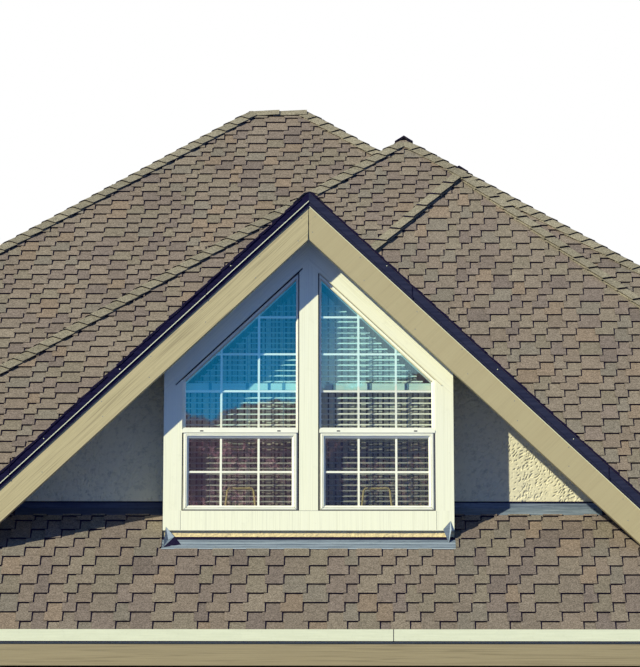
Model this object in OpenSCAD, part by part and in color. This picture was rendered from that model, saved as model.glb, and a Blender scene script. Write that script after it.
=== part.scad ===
// Gabled dormer window with the two hipped roof sections that it stands on.
// Millimetres. +X is right, +Y is back into the roof, +Z is up.
// Depths are measured from the outer face of the dormer's front wall.

/* [Main roof] */
// Half of the width between the outer faces of the side walls
roof_half = 3450; // [3300:10:3800]
// Depth from the dormer's wall back to the top of the front section's hips
hip_run = 5300; // [5250:10:5350]
// Distance from the middle to the top of the front section's hips
hip_x = 870; // [850:10:900]
// Depth from the dormer's wall back to the back section's ridge
ridge_run = 6185; // [6150:5:6200]
// Distance from the middle to the ridge's left end
ridge_left = 543; // [500:1:600]
// Distance from the middle to the ridge's right end, which is left of the middle too
ridge_right = 28; // [20:1:60]
// Drop of the back section's front slope below the front section's
back_drop = 250; // [230:5:260]
// Depth of the eave edge in front of the dormer's wall
eave_run = 1490; // [1400:10:1600]
// Boards and shingles together, square to the slope
deck_t = 50; // [35:1:70]
// Distance from the back section's ridge to the back face
back_ridge = 125; // [110:5:150]

/* [Dormer] */
// Pitch of the dormer's gable in degrees
gable_pitch = 44.5; // [43.5:0.5:46]
// Height of the window box's bottom edge above the base
box_z = 1460; // [1440:10:1500]
// Height of the roof surface at the wall, above the box's bottom edge
wall_foot = 306; // [290:1:320]
// Depth by which the roof edge board stands in front of the wall
overhang = 600; // [560:10:640]
// Top of the dormer's shingles where the slopes meet
roof_peak = 2765; // [2755:1:2780]
// Top of the barge boards where they meet
barge_peak = 2694; // [2684:1:2700]
// Width of a barge board, square to its length
barge_w = 235; // [225:1:245]
// Underside of the raked soffit where it meets at the peak
soffit_peak = 2600; // [2590:1:2610]

/* [Window box] */
// Half of the width of the window box
box_half = 1145; // [1130:1:1160]
// Depth by which the box stands in front of the wall
box_depth = 380; // [350:10:420]
// Width of the side trims
trim_w = 145; // [135:1:150]
// Height of the board below the windows
apron_h = 163; // [150:1:170]
// Half of the width of the post between the windows
post_half = 75; // [70:1:80]
// Gap between the post and each window frame
post_gap = 8; // [5:1:10]

/* [Windows] */
// Top of the raked frames, where they would meet at the centre
frame_peak = 2240; // [2235:1:2245]
// Height of the bottom of the fixed upper glass
upper_glass_z = 850; // [845:1:860]
// Drop of the upper glass's raked edge below the frame's
glass_drop = 32; // [28:1:36]
// Bottom of the opening sash
sash_z = 173; // [172:1:176]
// Top of the opening sash
sash_top = 808; // [800:1:812]
// Width of the sash members
sash_w = 38; // [34:1:42]
// Thickness of the sealed glass
glass_t = 20; // [14:1:24]

/* [Eave] */
// Width of the gutter, front to back
gutter_w = 120; // [110:1:130]
// Height of the gutter
gutter_h = 101; // [95:1:110]
// Thickness of the fascia boards
fascia_t = 38; // [30:1:40]
// Distance by which the gutter's face stands in front of the fascia
fascia_set = 14; // [10:1:20]
// Distance from the inner fascia to the eave wall
soffit_run = 392; // [350:1:450]

/* [Walls] */
// Thickness of the framed walls
wall_t = 140; // [120:5:160]
// Thickness of the attic floor
floor_t = 200; // [150:10:240]

/* [Hidden] */
roof_pitch = 45;
slope = tan(gable_pitch);
deck_v = round(deck_t / cos(roof_pitch));
wall_z = box_z + wall_foot;
front_top = wall_z + hip_run;
back_top = wall_z + ridge_run - back_drop;
back_y = ridge_run + back_ridge;
left_hip_y = hip_run - hip_x - roof_half;
right_hip_y = hip_run + hip_x - roof_half;
left_valley_y = left_hip_y + back_drop;
left_back_y = ridge_run + ridge_left - roof_half;
valley_x = (ridge_run - ridge_right - hip_run + hip_x - back_drop) / 2;
valley_y = hip_run - hip_x + valley_x + back_drop;
plate_y = 20 - eave_run;
gutter_y = plate_y - gutter_w;
gutter_top = wall_z + gutter_y * tan(roof_pitch) + 106;
gutter_low = gutter_top - gutter_h;
fascia_y = gutter_y + fascia_set;
centre_y = (back_y + gutter_y) / 2;
barge_t = 38;
barge_low = barge_peak - barge_w / cos(gable_pitch);
ridge_flat = 20;
reach = 3300;
trim_t = 19;
face_y = -box_depth;
trim_back = face_y + trim_t;
sheet = 3;
wall_lap = 81;
wall_leg = 58;
deep = 9000;
cap_t = 12;
cap_w = 150;
cap_lift = round(cap_t * sqrt(2));
hip_cap_w = 125;
frame_in = post_half + post_gap;
frame_out = box_half - trim_w;
frame_y = face_y + 8;
frame_back = face_y + 88;
frame_step = face_y + 50;
sash_in = frame_in + 12;
sash_out = frame_out - 16;
seal = 3;
hole_half = 1000;
hole_front = -300;
hole_back = 1200;
drip_peak = 2660;
box_floor_t = 45;

shingle = "#74655f";
cream = "#e9e7d8";
beige = "#b3a587";
stucco = "#a9a291";
navy = "#23253a";
lead = "#7b8792";

// Height of the main roof's surface at a depth
function main_z(y) = wall_z + y * tan(roof_pitch);
// Height of a gable line that meets at a peak, measured above the box's bottom edge
function rake_z(peak, x) = box_z + peak - x * slope;

// Places the finished work with its origin under the middle
module place() translate([0, -centre_y, 0]) children();
// Makes the left piece from the right one
module on_side(side) mirror([side < 0 ? 1 : 0, 0, 0]) children();
// Extrudes an outline drawn in depth and height across the width
module across(x0, x1) translate([x0, 0, 0]) rotate([90, 0, 90]) linear_extrude(x1 - x0) children();
// Extrudes an outline drawn in width and height through the depth
module through(y0, y1) translate([0, y1, 0]) rotate([90, 0, 0]) linear_extrude(y1 - y0) children();
// Space below the main roof's surface, which cuts the feet of what stands on it
module below_main_roof() across(-4000, 4000)
    polygon([[-2500, main_z(-2500)], [5000, main_z(5000)], [5000, -500], [-2500, -500]]);
// Outline between two gable lines, cut plumb at both ends
module rake_band(low, high, x0, x1)
    polygon([[x0, rake_z(low, x0)], [x1, rake_z(low, x1)], [x1, rake_z(high, x1)], [x0, rake_z(high, x0)]]);
// Layer whose surface rises or falls with the depth, between two heights added to it
module layer_y(z0, rise, low, high) across(-roof_half, roof_half) polygon([
    [-eave_run, z0 - rise * eave_run + low], [back_y, z0 + rise * back_y + low],
    [back_y, z0 + rise * back_y + high], [-eave_run, z0 - rise * eave_run + high]
]);
// Layer whose surface rises or falls with the width
module layer_x(z0, rise, low, high) through(-eave_run, back_y) polygon([
    [-roof_half, z0 - rise * roof_half + low], [roof_half, z0 + rise * roof_half + low],
    [roof_half, z0 + rise * roof_half + high], [-roof_half, z0 - rise * roof_half + high]
]);
// The slopes of the front section
module front_layer(low, high) layer_y(wall_z, 1, low, high);
module left_layer(low, high) layer_x(front_top - hip_x, 1, low, high);
module right_layer(low, high) layer_x(front_top + hip_x, -1, low, high);
// Space under two slopes that meet in a hip, moved up or down
module left_hip_body(rise) intersection() {
    front_layer(rise - deep, rise);
    left_layer(rise - deep, rise);
}
module right_hip_body(rise) intersection() {
    front_layer(rise - deep, rise);
    right_layer(rise - deep, rise);
}
// Space under the back section's four slopes, moved up or down
module back_body(rise) intersection() {
    layer_y(wall_z - back_drop, 1, rise - deep, rise);
    layer_x(back_top + ridge_left, 1, rise - deep, rise);
    layer_x(back_top - ridge_right, -1, rise - deep, rise);
    layer_y(back_top + ridge_run, -1, rise - deep, rise);
}
// Outlines in plan of the front section's slopes and of the back section
front_plan = [
    [-roof_half, -eave_run], [roof_half, -eave_run], [roof_half, right_hip_y],
    [hip_x, hip_run], [-roof_half, left_hip_y]
];
left_plan = [
    [-roof_half, left_hip_y], [hip_x, hip_run], [hip_x, back_y], [valley_x, back_y],
    [valley_x, valley_y], [-roof_half, left_valley_y]
];
right_plan = [[roof_half, right_hip_y], [roof_half, back_y], [hip_x, back_y], [hip_x, hip_run]];
back_plan = [[-roof_half, left_valley_y], [valley_x, valley_y], [valley_x, back_y], [-roof_half, back_y]];
module in_plan() translate([0, 0, -100]) linear_extrude(9000) children();
module plan_box(x0, y0, x1, y1) translate([x0, y0]) square([x1 - x0, y1 - y0]);

module main_roof(x0, y0, x1, y1) color(shingle) place() intersection() {
    front_layer(-deck_v, 0);
    in_plan() intersection() {
        polygon(front_plan);
        plan_box(x0, y0, x1, y1);
    }
}

module hip_slope_left() color(shingle) place() intersection() {
    left_layer(-deck_v, 0);
    in_plan() polygon(left_plan);
}

module hip_slope_right() color(shingle) place() intersection() {
    right_layer(-deck_v, 0);
    in_plan() polygon(right_plan);
}

module back_roof() color(shingle) place() intersection() {
    in_plan() polygon(back_plan);
    difference() {
        back_body(0);
        back_body(-deck_v);
    }
}

// Half of a hip cap's width, measured along an eave
hip_step = round(hip_cap_w * sqrt(2));

module hip_cap_left() color(shingle) place() intersection() {
    in_plan() polygon([
        [hip_x, hip_run - hip_step], [hip_x, hip_run], [hip_x - hip_step, hip_run],
        [-roof_half, left_hip_y + hip_step], [-roof_half, left_hip_y - hip_step]
    ]);
    difference() {
        left_hip_body(cap_lift);
        left_hip_body(0);
    }
}

module hip_cap_right() color(shingle) place() intersection() {
    in_plan() polygon([
        [hip_x, hip_run - hip_step], [roof_half, right_hip_y - hip_step],
        [roof_half, right_hip_y + hip_step], [hip_x + hip_step, hip_run], [hip_x, hip_run]
    ]);
    difference() {
        right_hip_body(cap_lift);
        right_hip_body(0);
    }
}

module main_ridge_cap() color(shingle) place() translate([hip_x, 0, 0]) through(hip_run, back_y) polygon([
    [0, front_top], [hip_cap_w, front_top - hip_cap_w], [hip_cap_w, front_top - hip_cap_w + cap_lift],
    [0, front_top + cap_lift], [-hip_cap_w, front_top - hip_cap_w + cap_lift],
    [-hip_cap_w, front_top - hip_cap_w]
]);

// The back section's two hips and its ridge have one cap, which ends at the front section's slope
module back_hip_cap() color(shingle) place() intersection() {
    in_plan() polygon([
        [-roof_half, left_back_y - hip_step], [-ridge_left, ridge_run - hip_step],
        [-ridge_right, ridge_run - hip_step], [valley_x - hip_step / 2, valley_y - hip_step / 2],
        [valley_x, valley_y], [valley_x, valley_y + hip_step], [hip_step - ridge_right, ridge_run],
        [hip_step - ridge_right, back_y], [-ridge_left - hip_step, back_y],
        [-ridge_left - hip_step, ridge_run], [-roof_half, left_back_y + hip_step]
    ]);
    difference() {
        back_body(cap_lift);
        back_body(0);
    }
}

// Roof's surface along the outer face of a side wall, from the front to the back
function side_line(side) = side < 0 ? [
    [left_hip_y, main_z(left_hip_y)], [left_valley_y, main_z(left_hip_y)],
    [left_back_y, main_z(left_back_y) - back_drop], [back_y, main_z(left_back_y) - back_drop]
] : [[right_hip_y, main_z(right_hip_y)], [back_y, main_z(right_hip_y)]];

module side_wall(side) color(stucco) place() on_side(side) across(roof_half - wall_t, roof_half) {
    y0 = fascia_y + fascia_t;
    y1 = plate_y + fascia_t;
    top = [for (point = side_line(side)) point - [0, deck_v]];
    polygon(concat(
        [[back_y, 0], [y0, 0], [y0, gutter_low], [y1, gutter_low], [y1, main_z(y1) - deck_v]], top
    ));
}

module back_wall() color(stucco) place() through(back_y - wall_t, back_y) {
    x = roof_half - wall_t;
    rear = back_top - back_ridge;
    top = [
        [x, front_top + hip_x - x], [hip_x, front_top], [valley_x, front_top - hip_x + valley_x],
        [back_ridge - ridge_right, rear], [-ridge_left - back_ridge, rear], [-x, back_top + ridge_left - x]
    ];
    polygon(concat([[-x, 0], [x, 0]], [for (point = top) point - [0, deck_v]]));
}

module eave_wall() color(stucco) place() across(wall_t - roof_half, roof_half - wall_t) {
    y0 = plate_y + fascia_t + soffit_run;
    y1 = y0 + wall_t;
    polygon([[y0, 0], [y1, 0], [y1, main_z(y1) - deck_v], [y0, main_z(y0) - deck_v]]);
}

module attic_floor() color("#9a8460") place() across(wall_t - roof_half, roof_half - wall_t) {
    y0 = plate_y + fascia_t + soffit_run + wall_t;
    y1 = back_y - wall_t;
    polygon([[y0, 0], [y1, 0], [y1, floor_t], [y0, floor_t]]);
}

module fascia() color(beige) place() across(-roof_half, roof_half)
    translate([fascia_y, 0]) square([fascia_t, gutter_low]);

module inner_fascia() color("#9a8460") place() across(-roof_half, roof_half) {
    y1 = plate_y + fascia_t;
    polygon([
        [plate_y, gutter_low], [y1, gutter_low], [y1, main_z(y1) - deck_v], [plate_y, main_z(plate_y) - deck_v]
    ]);
}

module eave_soffit() color(cream) place() across(wall_t - roof_half, roof_half - wall_t) {
    y0 = fascia_y + fascia_t;
    translate([y0, 0]) square([plate_y + fascia_t + soffit_run - y0, trim_t]);
}

module gutter() color(cream) place() {
    hook = plate_y - sheet;
    lip = gutter_top - sheet;
    bed = gutter_low + sheet;
    face = gutter_y + sheet;
    back_top_z = main_z(plate_y) - deck_v - 3;
    across(-roof_half, roof_half) polygon([
        [plate_y, back_top_z], [plate_y, gutter_low], [gutter_y, gutter_low], [gutter_y, gutter_top],
        [gutter_y + 12, gutter_top], [gutter_y + 12, lip], [face, lip], [face, bed], [hook, bed],
        [hook, back_top_z]
    ]);
    edge_y = -eave_run - 2;
    edge_z = main_z(-eave_run) - deck_v - 3;
    for (x = [-roof_half, roof_half - sheet]) across(x, x + sheet)
        polygon([[hook, edge_z], [hook, bed], [face, bed], [face, lip], [edge_y, lip], [edge_y, edge_z]]);
}

module front_wall(side) color(stucco) place() on_side(side) {
    x1 = (box_z + barge_peak - main_z(0)) / slope;
    difference() {
        through(0, wall_t) polygon([
            [frame_out, box_z], [x1 + 200, box_z], [x1 + 200, rake_z(barge_peak, x1 + 200)],
            [frame_out, rake_z(barge_peak, frame_out)]
        ]);
        below_main_roof();
    }
}

module window_header(side) color("#8c7a5c") place() on_side(side) {
    through(trim_back, wall_t) rake_band(frame_peak, soffit_peak, 0, frame_out);
    through(0, wall_t) rake_band(soffit_peak, barge_peak, 0, frame_out);
}

module box_wall(side) color(cream) place() on_side(side) difference() {
    through(trim_back, 0) polygon([
        [frame_out, box_z - 100], [box_half, box_z - 100], [box_half, rake_z(soffit_peak, box_half)],
        [frame_out, rake_z(soffit_peak, frame_out)]
    ]);
    below_main_roof();
}

module box_base() color(stucco) place() difference() {
    through(trim_back, hole_front)
        translate([-frame_out, box_z - 100]) square([2 * frame_out, 100 + apron_h - box_floor_t]);
    below_main_roof();
}

module box_floor() color(cream) place() translate([-frame_out, trim_back, box_z + apron_h - box_floor_t])
    cube([2 * frame_out, wall_t - trim_back, box_floor_t]);

module window_post() color(cream) place() through(face_y, frame_back) polygon([
    [-post_half, box_z + apron_h], [post_half, box_z + apron_h],
    [post_half, rake_z(frame_peak, post_half)], [0, rake_z(frame_peak, 0)],
    [-post_half, rake_z(frame_peak, post_half)]
]);

module window_apron() color(cream) place() translate([-box_half, face_y, box_z])
    cube([2 * box_half, trim_t, apron_h]);

module window_trim(side) color(cream) place() on_side(side) through(face_y, trim_back) polygon([
    [frame_out, box_z + apron_h], [box_half, box_z + apron_h], [box_half, mitre_z(box_half)],
    [mitre_x(), mitre_z(mitre_x())], [frame_out, rake_z(frame_peak, frame_out)]
]);

// The joint between side trim and raked trim runs up from the outer edge
function mitre_x() = frame_out + 50;
function mitre_z(x) = rake_z(frame_peak, mitre_x()) - (x - mitre_x()) * 0.85;

module rake_trim(side) color(cream) place() on_side(side) through(face_y, trim_back) polygon([
    [0, rake_z(frame_peak, 0)], [mitre_x(), rake_z(frame_peak, mitre_x())],
    [box_half, mitre_z(box_half)], [box_half, rake_z(soffit_peak, box_half)],
    [0, rake_z(soffit_peak, 0)]
]);

// Outline of the fixed light's glass, or of the frame's edge at a margin outside it
module upper_light(margin = 0) {
    x0 = frame_in + 18 - margin;
    x1 = frame_out - 27 + margin;
    peak = frame_peak - glass_drop + margin;
    polygon([
        [x0, box_z + upper_glass_z - margin], [x1, box_z + upper_glass_z - margin],
        [x1, rake_z(peak, x1)], [x0, rake_z(peak, x0)]
    ]);
}

// Rectangle of the sash with every edge moved outwards
module sash_outline(grow) translate([sash_in - grow, box_z + sash_z - grow])
    square([sash_out - sash_in + 2 * grow, sash_top - sash_z + 2 * grow]);

module frame_outline() polygon([
    [frame_in, box_z + apron_h], [frame_out, box_z + apron_h],
    [frame_out, rake_z(frame_peak, frame_out)], [frame_in, rake_z(frame_peak, frame_in)]
]);

module window_frame(side) color(cream) place() on_side(side) {
    through(frame_y, frame_step) difference() {
        frame_outline();
        upper_light();
        sash_outline(seal);
    }
    through(frame_step, frame_back) difference() {
        frame_outline();
        upper_light();
        sash_outline(-sash_w + 4);
    }
}

module sash(side) color(cream) place() on_side(side) through(face_y + 2, frame_step) difference() {
    sash_outline(0);
    sash_outline(-sash_w);
}

module upper_glass(side) color("#5b7f99") place() on_side(side)
    through(face_y + 28, face_y + 28 + glass_t) upper_light();

module lower_glass(side) color("#5b7f99") place() on_side(side)
    through(face_y + 26, face_y + 26 + glass_t) sash_outline(-sash_w);

module blind(side) color("#d9d7cc") place() on_side(side) through(face_y + 118, face_y + 138) polygon([
    [frame_in + 5, box_z + apron_h], [frame_out - 8, box_z + apron_h],
    [frame_out - 8, rake_z(frame_peak - 20, frame_out - 8)],
    [frame_in + 5, rake_z(frame_peak - 20, frame_in + 5)]
]);

module sash_handle(side) color("#b08a3c") place() on_side(side) {
    base = box_z + apron_h;
    through(face_y + 94, face_y + 102) difference() {
        polygon([[408, base], [668, base], [642, base + 222], [434, base + 222]]);
        polygon([[416, base], [660, base], [635, base + 214], [441, base + 214]]);
    }
}

module barge_board(side) color(beige) place() on_side(side) difference() {
    through(-overhang, barge_t - overhang) rake_band(barge_low, barge_peak, 0, reach);
    below_main_roof();
}

module drip_edge(side) color(navy) place() on_side(side) difference() {
    through(-overhang - 12 - sheet, -overhang - 12) rake_band(drip_peak, roof_peak - ridge_flat, 0, reach);
    below_main_roof();
}

module rake_soffit() color(cream) place() difference() {
    for (side = [-1, 1]) on_side(side)
        through(barge_t - overhang, 0) rake_band(soffit_peak, soffit_peak + 17, 0, reach);
    below_main_roof();
}

module dormer_roof(side) color(shingle) place() on_side(side) difference() {
    through(-overhang - 12, 3000) polygon([
        [0, rake_z(barge_peak, 0)], [reach, rake_z(barge_peak, reach)], [reach, rake_z(roof_peak, reach)],
        [ridge_flat, rake_z(roof_peak, ridge_flat)], [0, rake_z(roof_peak, ridge_flat)]
    ]);
    below_main_roof();
}

module dormer_ridge_cap() color(shingle) place() difference() {
    cap_peak = roof_peak + cap_t / cos(gable_pitch);
    flat = ridge_flat + 5;
    through(-overhang - 12, 3000) polygon([
        [-cap_w, rake_z(roof_peak, cap_w)], [-cap_w, rake_z(cap_peak, cap_w)],
        [-flat, rake_z(cap_peak, flat)], [flat, rake_z(cap_peak, flat)],
        [cap_w, rake_z(cap_peak, cap_w)], [cap_w, rake_z(roof_peak, cap_w)],
        [ridge_flat, rake_z(roof_peak, ridge_flat)], [-ridge_flat, rake_z(roof_peak, ridge_flat)]
    ]);
    below_main_roof();
}

// Bent sheet: one leg stands up, the other lies on the main roof
module bent_sheet(y, up, down) polygon([
    [y, main_z(y)], [y, main_z(y) + up], [y - sheet, main_z(y) + up],
    [y - sheet, main_z(y - sheet) + sheet * 1.4], [y - down, main_z(y - down) + sheet * 1.4],
    [y - down, main_z(y - down)]
]);

module wall_flashing(side) color(lead) place() on_side(side)
    across(box_half, (box_z + soffit_peak - main_z(0)) / slope - 10) bent_sheet(0, wall_leg, wall_lap);

module apron_flashing() color(lead) place() across(-box_half - 40, box_half + 40)
    bent_sheet(face_y, 15, 118);

// Side flashing with its upright leg against the box's side
module box_flashing(side) color(lead) place() on_side(side) {
    y0 = face_y + 1;
    y1 = -wall_lap;
    across(box_half, box_half + sheet)
        polygon([[y0, main_z(y0)], [y1, main_z(y1)], [y1, main_z(y1) + 60], [y0, main_z(y0) + 60]]);
    across(box_half + sheet, box_half + 75) polygon([
        [y0, main_z(y0)], [y1, main_z(y1)], [y1, main_z(y1) + sheet * 1.4], [y0, main_z(y0) + sheet * 1.4]
    ]);
}

main_roof(-roof_half, -eave_run, roof_half, hole_front);  // main_roof_lower
main_roof(-roof_half, hole_front, -hole_half, hole_back);  // main_roof_left
main_roof(hole_half, hole_front, roof_half, hole_back);  // main_roof_right
main_roof(-roof_half, hole_back, roof_half, hip_run);  // main_roof_upper
hip_slope_left();
hip_slope_right();
hip_cap_left();
hip_cap_right();
main_ridge_cap();
back_roof();
back_hip_cap();
side_wall(-1);  // side_wall_left
side_wall(1);  // side_wall_right
back_wall();
eave_wall();
attic_floor();
fascia();
inner_fascia();
eave_soffit();
gutter();
front_wall(-1);  // front_wall_left
front_wall(1);  // front_wall_right
window_header(-1);  // window_header_left
window_header(1);  // window_header_right
box_wall(-1);  // box_wall_left
box_wall(1);  // box_wall_right
box_base();
box_floor();
window_post();
window_apron();
window_trim(-1);  // window_trim_left
window_trim(1);  // window_trim_right
rake_trim(-1);  // rake_trim_left
rake_trim(1);  // rake_trim_right
window_frame(-1);  // window_frame_left
window_frame(1);  // window_frame_right
sash(-1);  // sash_left
sash(1);  // sash_right
upper_glass(-1);  // upper_glass_left
upper_glass(1);  // upper_glass_right
lower_glass(-1);  // lower_glass_left
lower_glass(1);  // lower_glass_right
blind(-1);  // blind_left
blind(1);  // blind_right
sash_handle(-1);  // sash_handle_left
sash_handle(1);  // sash_handle_right
barge_board(-1);  // barge_board_left
barge_board(1);  // barge_board_right
drip_edge(-1);  // drip_edge_left
drip_edge(1);  // drip_edge_right
rake_soffit();
dormer_roof(-1);  // dormer_roof_left
dormer_roof(1);  // dormer_roof_right
dormer_ridge_cap();
wall_flashing(-1);  // wall_flashing_left
wall_flashing(1);  // wall_flashing_right
box_flashing(-1);  // box_flashing_left
box_flashing(1);  // box_flashing_right
apron_flashing();
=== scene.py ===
import math
import random

import bmesh
import bpy
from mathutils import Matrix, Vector, noise


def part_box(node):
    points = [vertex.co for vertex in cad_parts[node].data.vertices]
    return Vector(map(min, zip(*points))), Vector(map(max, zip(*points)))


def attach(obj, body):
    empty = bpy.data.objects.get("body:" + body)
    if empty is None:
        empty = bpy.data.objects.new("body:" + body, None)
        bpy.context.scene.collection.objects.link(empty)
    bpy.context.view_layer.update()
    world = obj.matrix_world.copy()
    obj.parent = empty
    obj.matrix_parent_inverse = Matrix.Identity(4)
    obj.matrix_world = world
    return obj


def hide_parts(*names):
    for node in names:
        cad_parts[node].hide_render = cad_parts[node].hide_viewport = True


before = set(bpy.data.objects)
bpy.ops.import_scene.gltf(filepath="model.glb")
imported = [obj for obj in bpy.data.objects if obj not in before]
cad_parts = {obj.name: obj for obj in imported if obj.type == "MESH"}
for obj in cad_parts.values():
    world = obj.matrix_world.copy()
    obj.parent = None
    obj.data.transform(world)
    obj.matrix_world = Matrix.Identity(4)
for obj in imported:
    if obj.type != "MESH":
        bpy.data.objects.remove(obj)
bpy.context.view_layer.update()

# Places taken from the frame, in metres
WALL_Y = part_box("front_wall_left")[0].y
APRON_LO, APRON_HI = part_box("window_apron")
LIGHT_LO, LIGHT_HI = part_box("upper_glass_right")
SASH_LO, SASH_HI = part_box("sash_right")
PANE_LO, PANE_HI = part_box("lower_glass_right")
BOX_Z = APRON_LO.z
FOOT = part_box("front_wall_left")[0].z - BOX_Z
FACE = APRON_LO.y - WALL_Y
BOX_HALF = APRON_HI.x
APRON_TOP = APRON_HI.z - BOX_Z
LIGHT_FOOT = LIGHT_LO.z - BOX_Z
SASH_FOOT = SASH_LO.z - BOX_Z
SASH_TOP = SASH_HI.z - BOX_Z
PANE_FOOT = PANE_LO.z - BOX_Z
PANE_TOP = PANE_HI.z - BOX_Z
FRAME_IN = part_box("window_frame_right")[0].x
FRAME_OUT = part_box("window_frame_right")[1].x
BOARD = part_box("barge_board_left")[0].y - WALL_Y
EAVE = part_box("main_roof_lower")[0].y - WALL_Y
ROOF_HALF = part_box("main_roof_lower")[1].x
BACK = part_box("back_wall")[1].y - WALL_Y
HIP_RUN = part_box("main_roof_upper")[1].y - WALL_Y
HIP_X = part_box("hip_slope_right")[0].x
VALLEY_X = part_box("back_roof")[1].x

# Sizes of the real pieces, in metres; a peak is where two gable lines meet above the box's bottom edge
GABLE = math.radians(44.5)
SLOPE = math.tan(GABLE)
MAIN = math.radians(45)
ROOF_PEAK = 2.765
BARGE_PEAK = 2.694
BARGE_LOW = BARGE_PEAK - 0.235 / math.cos(GABLE)
BARGE_THICK = 0.038
FRAME_PEAK = 2.240
GLASS_PEAK = 2.208
ROOF_FRONT = BOARD - 0.012
VALLEY_RUN = ROOF_PEAK - FOOT
RIDGE_RUN = BACK - 0.125
RIDGE_LEFT = -0.543
RIDGE_RIGHT = -0.028
BACK_DROP = 0.250
FRONT_TOP = FOOT + HIP_RUN
BACK_TOP = FOOT + RIDGE_RUN - BACK_DROP
SKIRT_COURSE = 0.154
FIELD_COURSE = 0.1358
UPPER_COURSE = 0.101
DORMER_COURSE = 0.143
# Width of the dark slanted face past each raised tab's right end, a painted shadow of the tab's side
TAB_SHADOW_SLANT = 0.021
CAP_WIDTH = 0.118
FINE = 0.002
EDGE = ROOF_HALF - FINE
BUTT_SET = 0.014
SIDES = {"left": -1, "right": 1}


def place(x, depth, height):
    """Point at a depth behind the dormer's wall and a height above the window box's bottom edge."""
    return Vector((x, WALL_Y + depth, BOX_Z + height))


def rake(peak, x):
    """Height of a gable line at a distance from the middle."""
    return peak - abs(x) * SLOPE


def on_rake(x, peak):
    """Point of a gable line at a distance from the middle."""
    return (x, rake(peak, x))


def oblong(x0, z0, x1, z1):
    """Outline of a rectangle, anticlockwise from its low corner."""
    return [(x0, z0), (x1, z0), (x1, z1), (x0, z1)]


def dim(colour, share):
    """Colour brought down to a share of itself."""
    return tuple(c * share for c in colour)


# Meshes made of closed solids
class Solids:
    """Solids collected for one piece; outlines in width and height are mirrored where the sign is -1."""

    def __init__(self, sign=1):
        self.sign = sign
        self.points = []
        self.faces = []
        self.slots = []
        self.tints = []

    def face(self, corners, slot=0, tint=(1, 1, 1)):
        self.faces.append(corners)
        self.slots.append(slot)
        self.tints.append(tint)

    def prism(self, base, top, slot=0, side_slot=None, tint=(1, 1, 1)):
        """Solid between two outlines with the same number of points."""
        count = len(base)
        first = len(self.points)
        side_slot = slot if side_slot is None else side_slot
        self.points += [*base, *top]
        self.face([first + count + i for i in range(count)], slot, tint)
        self.face([first + i for i in reversed(range(count))], slot, tint)
        for i in range(count):
            j = (i + 1) % count
            self.face([first + i, first + j, first + count + j, first + count + i], side_slot, tint)

    def plate(self, outline, front, back, slot=0, side_slot=None, tint=(1, 1, 1)):
        """Solid from an outline in width and height, between two depths."""
        near, far = ([place(x * self.sign, depth, z) for x, z in outline] for depth in (front, back))
        self.prism(far, near, slot, side_slot, tint)

    def bar(self, low, high, slot=0):
        """Block between two corners, each a width, depth and height."""
        self.plate(oblong(low[0], low[2], high[0], high[2]), low[1], high[1], slot)

    def rod(self, path, radius, sides=10):
        """Round bar along a path of points."""
        first = len(self.points)
        last = first + (len(path) - 1) * sides
        for i, point in enumerate(path):
            ahead = path[min(i + 1, len(path) - 1)] - path[max(i - 1, 0)]
            across = ahead.cross(Vector((0.3, 1, 0.2))).normalized()
            upward = ahead.cross(across).normalized()
            for k in range(sides):
                turn = math.tau * k / sides
                self.points.append(point + (across * math.cos(turn) + upward * math.sin(turn)) * radius)
        for ring in range(first, last, sides):
            for k in range(sides):
                a = ring + k
                b = ring + (k + 1) % sides
                self.face([a, b, b + sides, a + sides])
        self.face([first + k for k in reversed(range(sides))])
        self.face([last + k for k in range(sides)])

    def ring(self, outer, inner, profile):
        """Mitred frame whose section's points are a share of the way inwards and a depth."""
        first = len(self.points)
        count = len(outer)
        for share, depth in profile:
            for (ox, oz), (ix, iz) in zip(outer, inner):
                self.points.append(place((ox + (ix - ox) * share) * self.sign, depth, oz + (iz - oz) * share))
        for k in range(len(profile)):
            near = first + k * count
            far = first + (k + 1) % len(profile) * count
            for i in range(count):
                j = (i + 1) % count
                self.face([near + i, near + j, far + j, far + i])


def new_object(name, points, faces, materials):
    """Mesh object of points and faces."""
    mesh = bpy.data.meshes.new(name)
    mesh.from_pydata([tuple(p) for p in points], [], faces)
    for material in materials:
        mesh.materials.append(material)
    obj = bpy.data.objects.new(name, mesh)
    bpy.context.collection.objects.link(obj)
    return obj


def finish_piece(obj, replaced=()):
    """Hides the nodes a piece stands for and lets it ride on the root."""
    if replaced:
        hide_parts(*replaced)
    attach(obj, "root")
    return obj


def soften(obj, width):
    """Rounds the edges of a board or a sheet."""
    edge = obj.modifiers.new("edges", "BEVEL")
    edge.width = width
    edge.segments = 2
    edge.limit_method = "ANGLE"
    edge.angle_limit = math.radians(40)
    edge.harden_normals = True


def make(name, solids, materials, replaced=(), bevel=0.0):
    """Turns collected solids into one piece."""
    obj = new_object(name, solids.points, solids.faces, materials)
    mesh = obj.data
    mesh.polygons.foreach_set("material_index", solids.slots)
    tint = mesh.color_attributes.new("tint", "FLOAT_COLOR", "CORNER")
    colours = []
    for polygon, value in zip(mesh.polygons, solids.tints):
        colours += [*value, 1.0] * polygon.loop_total
    tint.data.foreach_set("color", colours)
    shape = bmesh.new()
    shape.from_mesh(mesh)
    bmesh.ops.recalc_face_normals(shape, faces=shape.faces)
    shape.to_mesh(mesh)
    shape.free()
    if bevel:
        soften(obj, bevel)
    return finish_piece(obj, replaced)


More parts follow.
